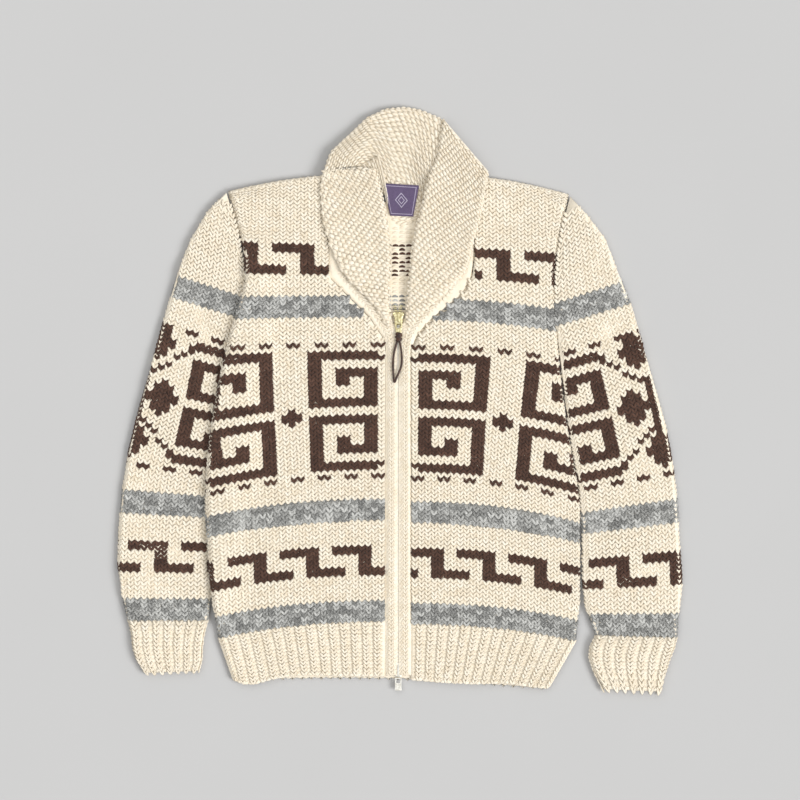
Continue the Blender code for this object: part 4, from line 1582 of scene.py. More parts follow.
def cast_on(line: Array, length: float = 8.0, width: float = 5.0) -> Cells:
    """Beads along a free edge, such as a cast-on row.

    Args:
        line: Points of the edge.
        length: Length of each bead.
        width: Width of the row.

    Returns:
        The cells.
    """
    steps = np.linalg.norm(np.diff(line, axis=0), axis=1)
    arc = np.concatenate([[0.0], np.cumsum(steps)])
    count = max(2, int(round(arc[-1] / length)))
    at = np.linspace(0.0, arc[-1], count + 1)
    points = np.stack([np.interp(at, arc, line[:, a]) for a in range(3)], 1)
    across = points[1:] - points[:-1]
    flat = np.cross([0.0, 0.0, 1.0], across)
    flat /= np.maximum(np.linalg.norm(flat, axis=1, keepdims=True), 1e-9)
    up = flat * width
    out = np.cross(across, up)
    out /= np.linalg.norm(out, axis=1, keepdims=True)
    foot = (points[1:] + points[:-1]) / 2 - up / 2
    return Cells(foot, across, up, out, np.zeros(count, int))


@dataclass
class HemRib:
    """Ribbing at the bottom of a front."""

    side: Side
    repeats: int = 15
    rows: int = 14

    def grid(self, count: int, inset: float = 0.0, columns: int = 44) -> Array:
        """Lines of the rib from its lower edge up, from side to band.

        Args:
            count: Number of lines.
            inset: Share of the rib left off at its lower edge.
            columns: Points of a line.

        Returns:
            The points.
        """
        share = np.linspace(0.0, 1.0, columns)
        hem = np.array(HEM[self.side])
        low = np.stack([np.interp(share, hem[:, 0], hem[:, 1]), np.interp(share, hem[:, 0], hem[:, 2])], 1)
        outer = side_x(self.side, RIB_COURSE)
        inner = float(read(NECKLINES[self.side], RIB_COURSE, 1))
        x = outer + (inner - outer) * share
        high = np.stack([x, course_xy(self.side, RIB_COURSE, x)], 1)
        out = []
        for part in np.linspace(inset, 1.0, count):
            xy = low + (high - low) * part
            z = FRONT_Z + CLOTH + lift(xy[:, 0], xy[:, 1]) + relief(xy[:, 0], xy[:, 1]) * (0.4 + 0.6 * part)
            z = z - edge_drop(np.abs(xy[:, 0] - xy[0, 0]), EDGE_ROLL) * 0.9
            out.append(np.column_stack([xy, z]))
        return np.array(out)

    def build(self, kit: Kit) -> None:
        """Build and dress the ribbing.

        Args:
            kit: The shared finishes and the knitter.
        """
        net = lattice(self.grid(self.rows + 1, 0.03, 60), count=self.repeats * 2, turned=self.side is Side.LEFT)
        edge = self.grid(2)[0]
        if self.side is Side.LEFT:
            edge = edge[::-1]
        edge[:, 2] -= 2.1
        edge[:, 1] += 2.6
        beads = cast_on(edge)
        sets = rib_sets(net) + [(beads, raised(seed_shape(), 1.0, 0.2))]
        stitches = kit.knitter.knit(f"hem_rib_{self.side.word}", sets)
        top = self.grid(18)[::-1]
        top[-1, :, 1] += 2.0
        low = top.copy()
        low[..., 2] = FRONT_Z + lift(top[..., 0], top[..., 1])
        top[..., 2] = np.maximum(top[..., 2] - 2.6, low[..., 2] + 0.9)
        if self.side is Side.LEFT:
            top, low = top[:, ::-1], low[:, ::-1]
        shell = shell_piece(f"hem_rib_{self.side.word}_cloth", top, low, kit.plain[Yarn.CREAM])
        hand_over(shell, stitches, f"hem_rib_{self.side.word}")


@dataclass
class BackRib:
    """Ribbing at the bottom of the back, seen from below and past the front's edge."""

    repeats: int = 33
    rows: int = 14

    def grid(self, count: int, z: float, columns: int = 70) -> Array:
        """Lines of the rib from its lower edge up, from right to left.

        Args:
            count: Number of lines.
            z: Height off the surface.
            columns: Points of a line.

        Returns:
            The points.
        """
        share = np.linspace(0.0, 1.0, columns)
        right, left = side_x(Side.RIGHT, RIB_COURSE), side_x(Side.LEFT, RIB_COURSE)
        x = right + (left - right) * share
        high = np.stack([x, np.where(x < ZIP_X, course_xy(Side.RIGHT, RIB_COURSE, x),
                                     course_xy(Side.LEFT, RIB_COURSE, x)) - 0.3], 1)
        start, end = np.array(HEM[Side.RIGHT][0][1:]), np.array(HEM[Side.LEFT][0][1:])
        low = start + (end - start) * share[:, None]
        low[:, 1] += BACK_HEM_RISE * np.sin(math.pi * share)
        out = []
        for part in np.linspace(0.0, 1.0, count):
            xy = low + (high - low) * part
            away = np.minimum(xy[:, 0] - xy[0, 0], xy[-1, 0] - xy[:, 0])
            out.append(np.column_stack([xy, z + lift(xy[:, 0], xy[:, 1]) + edge_drop(away, 4.0) * (z < 2.5)]))
        return np.array(out)

    def build(self, kit: Kit) -> None:
        """Build and dress the ribbing.

        Args:
            kit: The shared finishes and the knitter.
        """
        net = lattice(self.grid(self.rows + 1, 0.0), count=self.repeats * 2, turned=True)
        edge = self.grid(2, 2.6)[0]
        edge[:, 1] += 2.6
        sets = rib_sets(net, False) + [(cast_on(edge), seed_shape())]
        stitches = kit.knitter.knit("hem_rib_back", sets)
        top = self.grid(16, CLOTH - 0.4)[::-1]
        low = self.grid(16, 2.4)[::-1]
        for part in (top, low):
            part[-1, :, 1] += 2.0
        shell = shell_piece("hem_rib_back_cloth", top, low, kit.plain[Yarn.CREAM])
        hand_over(shell, stitches, "hem_rib_back")


@dataclass
class Sleeve:
    """A sleeve pressed flat: a tube of patterned stitches round plain cloth."""

    side: Side
    radius: float = SLEEVE_H / 2

    def limits(self, foot: Array, along: Array) -> tuple[float, float, float]:
        """Where a course leaves the sleeve.

        Args:
            foot: Its point on the spine.
            along: Unit direction towards the body.

        Returns:
            Distance to the outer fold, distance to the inner end, and how rounded that end is, from 0 to 1.
        """
        rows = np.array(SLEEVES[self.side])
        outer, inner = rows[::-1, 0:2], rows[::-1, 4:6]
        first = rows[0]
        part = np.linspace(0.0, 1.0, 9)[:, None]
        a, m, b = first[4:6], first[2:4], first[0:2]
        bend = 4.0 * m - 2.0 * (a + b)
        armhole = a + (b - a) * part + bend * part * (1.0 - part)
        inner = np.concatenate([inner[:-1], armhole])
        t = np.linspace(-130.0, 130.0, 1041)
        x = foot[0] + along[0] * t
        y = foot[1] + along[1] * t
        sign = self.side.value
        within = sign * (np.interp(y, outer[:, 1], outer[:, 0]) - x) > 0
        within &= sign * (x - np.interp(y, inner[:, 1], inner[:, 0])) > 0
        within &= y < armhole[-1, 1]
        middle = len(t) // 2
        if not within[middle]:
            near = np.flatnonzero(within)
            if not len(near):
                return 0.0, 0.0, 0.0
            middle = near[np.argmin(np.abs(near - middle))]
        low, high = middle, middle
        while low > 0 and within[low - 1]:
            low -= 1
        while high < len(t) - 1 and within[high + 1]:
            high += 1
        cut = float(smooth(np.array((armhole[0, 1] + 12.0 - y[high]) / 24.0)))
        return float(t[low]), float(t[high]), cut

    def ring(self, number: float, pitch: float) -> tuple[Array, Array] | None:
        """The two runs of a course: inwards from the motif's edge, and outwards round the fold.

        Args:
            number: The course, counted from the cuff up.
            pitch: Height of a course.

        Returns:
            Both runs, or None past the sleeve's end.
        """
        spine = np.array(SLEEVE_SPINES[self.side])
        steps = np.concatenate([[0.0], np.cumsum(np.linalg.norm(np.diff(spine, axis=0), axis=1))])
        at = number * pitch
        foot = np.array([np.interp(at, steps, spine[:, a]) for a in range(2)])
        slope = math.radians(float(read(SLEEVE_SLOPES, number, self.side.column)))
        along = np.array([-self.side.value * math.cos(slope), -math.sin(slope)])
        start, end, cut = self.limits(foot, along)
        if end - start < 14.0:
            return None
        r = self.radius
        inner_r = max(r * cut, 0.05)
        top = 2.0 * r
        zero = min(SLEEVE_MOTIF[self.side], end - inner_r - 1.0)
        zero = max(zero, start + r + 1.0)

        def place(t: Array, z: Array) -> Array:
            """Points of the course.

            Args:
                t: Distance along it from the spine.
                z: Height off the surface.

            Returns:
                The points, with their share of the creases.
            """
            xy = foot + along * t[:, None]
            swell = relief(xy[:, 0], xy[:, 1]) * 0.7 * np.clip(z / top, 0.0, 1.0) ** 2
            return np.column_stack([xy, z + swell])

        flat_t = np.linspace(zero, end - inner_r, 24)
        arc = np.linspace(0.0, math.pi * (0.5 + 0.5 * cut), 12)[1:]
        reach = 3.0 * (1.0 - cut)
        fold_t = end - inner_r + reach + inner_r * np.sin(arc)
        inner_t = np.concatenate([flat_t + reach * np.linspace(0, 1, 24), fold_t])
        inner_z = np.concatenate([np.full(24, top), top - inner_r + inner_r * np.cos(arc)])
        out_t = np.linspace(zero, start + r, 24)
        arc = np.linspace(0.0, math.pi, 14)[1:]
        under = np.linspace(start + r, end - inner_r, 30)[1:]
        outer_t = np.concatenate([out_t, start + r - r * np.sin(arc), under])
        outer_z = np.concatenate([np.full(24, top), r + r * np.cos(arc), np.zeros(29)])
        return place(inner_t, inner_z), place(outer_t, outer_z)

    def build(self, kit: Kit) -> None:
        """Build and dress the sleeve.

        Args:
            kit: The shared finishes and the knitter.
        """
        pitch = SLEEVE_ROW[self.side]
        inward, outward = [], []
        for number in range(0, 112):
            pair = self.ring(number, pitch)
            if pair is None:
                break
            inward.append(pair[0])
            outward.append(pair[1])
        LOG.info("sleeve_%s: %d courses", self.side.word, len(inward))
        turned = self.side is Side.LEFT
        one = lattice(np.array(inward), SLEEVE_STITCH, turned=turned)
        two = lattice(np.array(outward), SLEEVE_STITCH, turned=not turned, backwards=True)
        rule = partial(sleeve_yarn, self.side)
        sets: list[tuple[Cells, Shape]] = []
        for net in (one.dyed(rule), two.dyed(rule)):
            above = net.cells.out[:, 2] > -0.35
            fine, coarse = net.cells.only(above), net.cells.only(~above)
            sets += [(fine, knit_shape()), (coarse, raised(knit_shape(False), 1.0, -0.9)),
                     (fine.only(fine.yarn != Yarn.CREAM.value), chevron_pad())]
        stitches = kit.knitter.knit(f"sleeve_{self.side.word}", sets)
        outside, inside = [], []
        for line in SLEEVES[self.side]:
            ring = flat_ring(line[0:2], line[2:4], line[4:6], SLEEVE_H, (SHELL_DEPTH, CLOTH - 0.4))
            outside.append(ring[0])
            inside.append(ring[1])
        shell = shell_piece(f"sleeve_{self.side.word}_cloth", np.array(outside), np.array(inside),
                            kit.plain[Yarn.CREAM], ring=True)
        hand_over(shell, stitches, f"sleeve_{self.side.word}")


def flat_ring(outer: Sequence[float], middle: Sequence[float], inner: Sequence[float], height: float,
              insets: tuple[float, float]) -> tuple[list[tuple[float, ...]], list[tuple[float, ...]]]:
    """Two rings of a tube pressed flat along a line through three points.

    Args:
        outer: Outer end of the line.
        middle: A point at its middle.
        inner: Inner end.
        height: Full height of the tube.
        insets: How far each ring lies inside the tube's outside.

    Returns:
        The outer and the inner ring.
    """
    a, m, b = (np.array(p, float) for p in (outer, middle, inner))
    bend = 4.0 * m - 2.0 * (a + b)
    width = float(np.hypot(*(b - a)))

    def at(share: float, z: float) -> tuple[float, ...]:
        """A point of the ring.

        Args:
            share: Share of the way along the line.
            z: Height off the surface.

        Returns:
            Its coordinates.
        """
        return (*(a + (b - a) * share + bend * share * (1.0 - share)), z)

    half = height / 2
    rings = []
    for inset in insets:
        radius = half - inset
        ring = []
        ends = [math.pi * (0.5 - i / 6) for i in range(7)]
        fold = [((inset + radius - radius * math.cos(angle)) / width, half + radius * math.sin(angle))
                for angle in ends]
        ring += [at(share, z) for share, z in fold]
        for share in (0.2, 0.35, 0.5, 0.65, 0.8):
            ring.append(at(share, half - radius))
        ring += [at(1.0 - share, z) for share, z in fold[::-1]]
        for share in (0.8, 0.65, 0.5, 0.35, 0.2):
            ring.append(at(share, half + radius))
        rings.append(ring)
    return rings[0], rings[1]


@dataclass
class Cuff:
    """The ribbed end of a sleeve."""

    side: Side
    repeats: int = 15
    rows: int = 13

    def lines(self, count: int) -> Array:
        """Closed lines round the cuff, from its open end up, starting at the inner fold.

        Args:
            count: Number of lines.

        Returns:
            The points.
        """
        r = SLEEVE_H / 2
        rows = resample(np.array([[(a, b, 0.0), (c, d, 0.0)] for a, b, c, d in CUFFS[self.side]]), count)[::-1]
        out = []
        for outer, inner in rows:
            span = inner - outer
            width = float(np.linalg.norm(span))
            along = span / width
            arc = np.linspace(0.0, math.pi, 12)
            flat = np.linspace(r, width - r, 24)
            t = np.concatenate([flat[::-1], r - r * np.sin(arc)[1:-1], flat, width - r + r * np.sin(arc)[1:]])
            turn = r * np.cos(arc)
            z = np.concatenate([np.full(24, 2 * r), (r + turn)[1:-1], np.zeros(24), (r - turn)[1:]])
            out.append(outer + along * t[:, None] + np.array([0.0, 0.0, 1.0]) * z[:, None])
        return np.array(out)

    def build(self, kit: Kit) -> None:
        """Build and dress the cuff.

        Args:
            kit: The shared finishes and the knitter.
        """
        net = lattice(self.lines(self.rows + 1), count=self.repeats * 2, turned=self.side is Side.RIGHT)
        sets = rib_sets(net)
        edge = self.lines(2)[0]
        edge[:, 1] += 5.0
        middle = edge[:, 2].mean()
        edge[:, 2] = middle + (edge[:, 2] - middle) * 0.66
        beads = cast_on(edge)
        stitches = kit.knitter.knit(f"cuff_{self.side.word}", sets + [(beads, seed_shape())])
        outside, inside = [], []
        for a, b, c, d in CUFFS[self.side]:
            ring = flat_ring((a, b), ((a + c) / 2, (b + d) / 2), (c, d), SLEEVE_H, (2.4, CLOTH - 0.4))
            outside.append(ring[0])
            inside.append(ring[1])
        outside, inside = np.array(outside), np.array(inside)
        for grid in (outside, inside):
            grid[-1, :, 1] += 2.2
        shell = shell_piece(f"cuff_{self.side.word}_cloth", outside, inside, kit.plain[Yarn.CREAM], ring=True)
        hand_over(shell, stitches, f"cuff_{self.side.word}")


@dataclass
class ZipBand:
    """The knitted band that covers one half of the zip and goes on round the neckline."""

    side: Side

    def line(self, y: float, sink: float) -> Array:
        """The band's rounded top across it at one height, from the outer edge in.

        Args:
            y: The height.
            sink: How far it lies under the stitches' crests.

        Returns:
            The points.
        """
        start, end = float(read(NECKLINES[self.side], y, 1)), float(read(NECKLINES[self.side], y, 2))
        meet = float(smooth(np.array((104.0 - y) / 5.0)) * smooth(np.array((y + 352.0) / 14.0)))
        gap = 0.25 + 0.3 * float(smooth(np.array((y - 20.0) / 70.0)))
        hug = 6.4 + 0.4 * max(y - 104.0, 0.0)
        end = ZIP_X + self.side.value * min(abs(end - ZIP_X), hug)
        end = end * (1.0 - meet) + (ZIP_X + self.side.value * gap) * meet
        base = BAND_Z - (BAND_Z - FRONT_Z) * float(smooth(np.array((y - 112.0) / 20.0)))
        share = 0.5 - 0.5 * np.cos(np.linspace(0.0, math.pi, 20))
        x = start + (end - start) * share
        z = base + BAND_T - edge_drop(np.abs(x - start), 4.0) - edge_drop(np.abs(end - x), 2.6) * 0.8 - sink
        z = z + 0.3 * np.sin(y / 23.0 + self.side.value) * np.sin(math.pi * share)
        return np.stack([x, np.full_like(x, y), z], 1)

    def build(self, kit: Kit) -> None:
        """Build and dress the band.

        Args:
            kit: The shared finishes and the knitter.
        """
        stations = np.concatenate([np.arange(-372.4, 60.0, 5.3), np.arange(60.0, 303.0, 5.0)])
        lines = np.array([self.line(float(y), 0.0) for y in stations])
        net = lattice(lines, count=3, turned=self.side is Side.LEFT)
        sets = [(net.cells, raised(knit_shape(), 0.96, -0.25))]
        stitches = kit.knitter.knit(f"zip_band_{self.side.word}", sets, 0.5)
        top, low = [], []
        for y in np.linspace(303.0, -374.0, 120):
            high = self.line(float(y), 1.5)
            deep = high.copy()
            base = BAND_Z - (BAND_Z - FRONT_Z) * float(smooth(np.array((y - 112.0) / 20.0)))
            deep[:, 2] = base + 0.1
            high[:, 2] = np.maximum(high[:, 2], base + 0.9)
            if self.side is Side.LEFT:
                high, deep = high[::-1], deep[::-1]
            top.append(high)
            low.append(deep)
        name = f"zip_band_{self.side.word}"
        shell = shell_piece(f"{name}_cloth", np.array(top), np.array(low), kit.plain[Yarn.CREAM])
        hand_over(shell, stitches, name)


@dataclass
class CollarFront:
    """One front of the shawl collar, folded over its neckline."""

    side: Side
    lean: float
    bump: float = 7.6
    course: float = 5.6

    def path(self, row: Sequence[float], sink: float) -> Array:
        """Points over the fall, round the fold and under it, from beneath the free edge.

        Args:
            row: Free edge, fold, depth underneath and thickness.
            sink: How far it lies under the stitches' crests.

        Returns:
            The points.
        """
        free, fold, under, thick = np.array(row[0:2]), np.array(row[2:4]), row[4], row[5]
        base = FRONT_Z + (BAND_Z - FRONT_Z) * (1.0 - float(smooth(np.array((fold[1] - 124.0) / 20.0))))
        top = FALL_Z + thick
        span = fold - free
        width = float(np.hypot(*span))
        along = span / width
        radius = (top - base) / 2 - sink
        straight = width - (top - base) / 2
        middle = (top + base) / 2
        start = np.linspace(0.0, math.pi / 2, 6)
        lip = thick * 0.5 - sink * 0.5
        t = [lip - lip * np.cos(math.pi / 2 - start) + 0.4 + sink * 0.6]
        t[0] = (lip + 0.4 + sink * 0.6) - lip * np.cos(start)
        z = [top - sink - lip + lip * np.sin(start)]
        t.append(np.linspace(t[0][-1], straight, 22)[1:])
        z.append(np.full(21, top - sink))
        turn = np.linspace(math.pi / 2, -math.pi / 2, 14)[1:]
        t.append(straight + radius * np.cos(turn))
        z.append(middle + radius * np.sin(turn))
        reach = max(min(under, width - (top - base) / 2 - 0.5), 0.6)
        t.append(straight - np.linspace(0.0, reach, 8)[1:])
        z.append(np.full(7, base + sink))
        t, z = np.concatenate(t), np.concatenate(z)
        xy = free + along * t[:, None]
        swell = 0.9 * np.sin(xy[:, 1] / 31.0 + xy[:, 0] / 23.0)
        swell = swell * np.clip((z - middle) / max(radius, 0.1), 0, 1)
        swell = swell * np.clip(t / width, 0, 1) * np.clip((width - t) / 20.0, 0, 1)
        return np.column_stack([xy, z + swell])

    def grid(self, sink: float, count: int) -> Array:
        """Paths along the collar, evenly spaced, from its top down to its point.

        Args:
            sink: How far they lie under the stitches' crests.
            count: Number of paths.

        Returns:
            The points.
        """
        rows = np.array(COLLAR_FRONTS[self.side])
        return np.array([self.path(row, sink) for row in between_rows(rows, count)])

    def build(self, kit: Kit) -> None:
        """Build and dress the collar front.

        Args:
            kit: The shared finishes and the knitter.
        """
        lines = along_rows(self.grid(0.0, 60), self.course)[::-1]
        # Columns are counted from the fold, so each path runs from the fold both ways.
        bend = 32
        steps = np.linalg.norm(np.diff(lines, axis=1), axis=2)
        arc = np.concatenate([np.zeros((len(lines), 1)), np.cumsum(steps, axis=1)], 1)
        away = np.maximum(arc[:, bend:bend + 1] - arc, 0.0)
        spare = np.arange(-28, len(lines) + 28)
        slanted = np.empty((len(spare), *lines.shape[1:]))
        own = np.arange(len(lines))
        for j in range(lines.shape[1]):
            at = spare + self.lean * np.interp(spare, own, away[:, j]) / self.course
            for a in range(3):
                slanted[:, j, a] = np.interp(at, own, lines[:, j, a])
        lines = slanted
        over, under = lines[:, bend::-1], lines[:, bend:]
        right = self.side is Side.RIGHT
        one = lattice(over, self.bump, turned=right)
        two = lattice(under, self.bump, turned=not right)
        sets = []
        for net in (one, two):
            tall = np.linalg.norm(net.cells.up, axis=1)
            net = net.only(tall > 2.0)
            cells = net.cells
            cells.foot = cells.foot + cells.across * (0.5 * (net.rows % 2)[:, None] - 0.25)
            sets.append((cells, seed_shape()))
        stitches = kit.knitter.knit(f"collar_{self.side.word}", sets, 1.3)
        top, deep = self.grid(2.0, 40), self.grid(4.0, 40)
        deep[..., 2] = np.minimum(deep[..., 2], top[..., 2])
        if not right:
            top, deep = top[:, ::-1], deep[:, ::-1]
        shell = shell_piece(f"collar_{self.side.word}_cloth", top, deep, kit.plain[Yarn.CREAM])
        hand_over(shell, stitches, f"collar_{self.side.word}")


@dataclass
class CollarBack:
    """The collar behind the neck, rising from the back's neckline and folding over at its top."""

    bump: float = 7.4
    course: float = 5.5
    radius: float = CLOTH + 0.4
    seam: float = 6.5

    def path(self, row: Sequence[float], sink: float) -> Array:
        """Points from the neckline up the inside, round the fold and down behind.

        Args:
            row: Lower end, middle, upper end and height.
            sink: How far it lies under the stitches' crests.

        Returns:
            The points.
        """
        a, m, b = np.array(row[0:2]), np.array(row[2:4]), np.array(row[4:6])
        height = row[6]
        bend = 4.0 * m - 2.0 * (a + b)
        width = float(np.hypot(*(b - a)))
        straight = width - self.radius
        leg = COLLAR_BACK_LEG * width
        share = np.linspace(-self.seam / straight, 1.0, 26)
        t = [straight * share]
        rise = smooth((straight * share - (straight - leg - 34.0)) / 30.0)
        z = [height + (2 * self.radius - CLOTH) * rise + CLOTH - sink]
        turn = np.linspace(math.pi / 2, -math.pi / 2, 12)[1:]
        t.append(straight + (self.radius - sink) * np.cos(turn))
        z.append(height + self.radius + (self.radius - sink) * np.sin(turn))
        t.append(straight - np.linspace(0.0, leg, 8)[1:])
        z.append(np.full(7, height + sink))
        t, z = np.concatenate(t), np.concatenate(z)
        part = t / width
        xy = a + (b - a) * part[:, None] + bend * (part * (1.0 - part))[:, None]
        return np.column_stack([xy, z])

    def grid(self, sink: float, count: int) -> Array:
        """Paths across the collar, from the wearer's right to the left.

        Args:
            sink: How far they lie under the stitches' crests.
            count: Number of paths.

        Returns:
            The points.
        """
        rows = np.array(COLLAR_BACK)
        # Each end is tucked a little further under the collar's fronts.
        ends = rows[0] + (rows[0] - rows[1]) * 0.6, rows[-1] + (rows[-1] - rows[-2]) * 0.5
        ends[1][4:6] = rows[-1, 4:6] + (2.0, -3.5)
        rows = np.concatenate([ends[:1], rows, ends[1:]])
        rows[-1, 1], rows[0, 6] = rows[-2, 1], rows[1, 6]
        return np.array([self.path(row, sink) for row in between_rows(rows, count)])

    def build(self, kit: Kit) -> None:
        """Build and dress the back of the collar.

        Args:
            kit: The shared finishes and the knitter.
        """
        grid = self.grid(0.0, 80)
        # Courses lie across the collar and climb from the neckline, so lines run from side to side.
        climb = along_rows(np.swapaxes(grid, 0, 1), self.course)
        net = lattice(climb, self.bump)
        cells = net.cells
        cells.foot = cells.foot + cells.across * (0.5 * (net.rows % 2)[:, None] - 0.25)
        stitches = kit.knitter.knit("collar_back", [(cells, seed_shape())], 1.2)
        top, deep = self.grid(2.0, 60), self.grid(4.0, 60)
        shell = shell_piece("collar_back_cloth", top, deep, kit.plain[Yarn.CREAM])
        hand_over(shell, stitches, "collar_back")


@dataclass
class PocketWelt:
    """The grey knitted edge of a pocket's mouth."""

    side: Side
    shares: tuple[float, float]
    stitch: float = 10.2
    rows: int = 4

    def grid(self, count: int, columns: int, sink: float) -> Array:
        """Lines of the welt from its lower edge up, outer end first.

        Args:
            count: Number of lines.
            columns: Points of a line.
            sink: How far they lie under the stitches' crests.

        Returns:
            The points.
        """
        first, last = self.shares
        out = []
        for down in np.linspace(1.0, 0.0, count):
            course = WELT_TOP - WELT_H * down
            outer = side_x(self.side, course)
            inner = float(read(NECKLINES[self.side], course, 1))
            x = outer + (inner - outer) * np.linspace(first, last, columns)
            y = course_xy(self.side, course, x)
            away = np.minimum(np.abs(x - x[0]), np.abs(x - x[-1]))
            ends = np.minimum(away, WELT_H * min(down, 1.0 - down))
            z = FRONT_Z + CLOTH + GAP + WELT_T + lift(x, y) - edge_drop(ends, 2.4) - sink
            out.append(np.stack([x, y, z], 1))
        return np.array(out)

    def build(self, kit: Kit) -> None:
        """Build and dress the welt.

        Args:
            kit: The shared finishes and the knitter.
        """
        net = lattice(self.grid(self.rows + 1, 40, 0.0), self.stitch, turned=self.side is Side.LEFT)
        net.cells.yarn[:] = Yarn.GREY.value
        sets = [(net.cells, raised(shape, 1.0, up)) for shape, up in ((knit_shape(), 0.9), (chevron_pad(), 0.6))]
        stitches = kit.knitter.knit(f"pocket_{self.side.word}", sets, 1.5)
        top = self.grid(8, 40, 1.4)[::-1]
        low = top.copy()
        low[..., 2] = FRONT_Z + CLOTH + GAP + lift(top[..., 0], top[..., 1]) - 0.4
        top[..., 2] = np.maximum(top[..., 2], low[..., 2] + 0.7)
        if self.side is Side.LEFT:
            top, low = top[:, ::-1], low[:, ::-1]
        shell = shell_piece(f"pocket_{self.side.word}_cloth", top, low, kit.plain[Yarn.GREY])
        hand_over(shell, stitches, f"pocket_{self.side.word}")


@dataclass
class NeckLabel:
    """A woven label sewn to the inside of the collar, with nothing written on it."""

    thick: float = 0.7

    def build(self, kit: Kit) -> None:
        """Build and dress the label.

        Args:
            kit: The shared finishes and the knitter.
        """
        corners = [np.array(c, float) for c in LABEL_CORNERS]
        rows, strand = [], []
        for down in np.linspace(0.0, 1.0, 22):
            start = corners[0] + (corners[3] - corners[0]) * down
            end = corners[1] + (corners[2] - corners[1]) * down
            share = np.linspace(0.0, 1.0, 22)
            xy = start + (end - start) * share[:, None]
            z = CLOTH + GAP + 1.9 + 0.35 * np.sin(share * 7.0 + down * 3.0) + 0.25 * np.sin(down * 9.0)
            z = z - 0.5 * (np.abs(share - 0.5) > 0.48)
            rows.append(np.column_stack([xy, z]))
            strand.append(np.column_stack([share, np.full(22, down), np.zeros(22)]))
        top = np.array(rows)
        low = top - (0.0, 0.0, self.thick)
        faces = wall_faces(22, 22)
        points = np.concatenate([top.reshape(-1, 3), low.reshape(-1, 3)])
        marks = np.tile(np.array(strand).reshape(-1, 3), (2, 1))
        label = mesh_object("neck_label_cloth", points, faces, kit.label, marks)
        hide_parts("neck_label")
        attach(label, "garment")
        LOG.info("%s: plain lozenge, no lettering", label.name)


def box_mm(node: str) -> list[Array]:
    """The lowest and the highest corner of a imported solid.

    Args:
        node: The solid.

    Returns:
        Both corners, in millimetres.
    """
    return [np.array(corner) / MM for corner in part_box(node)]


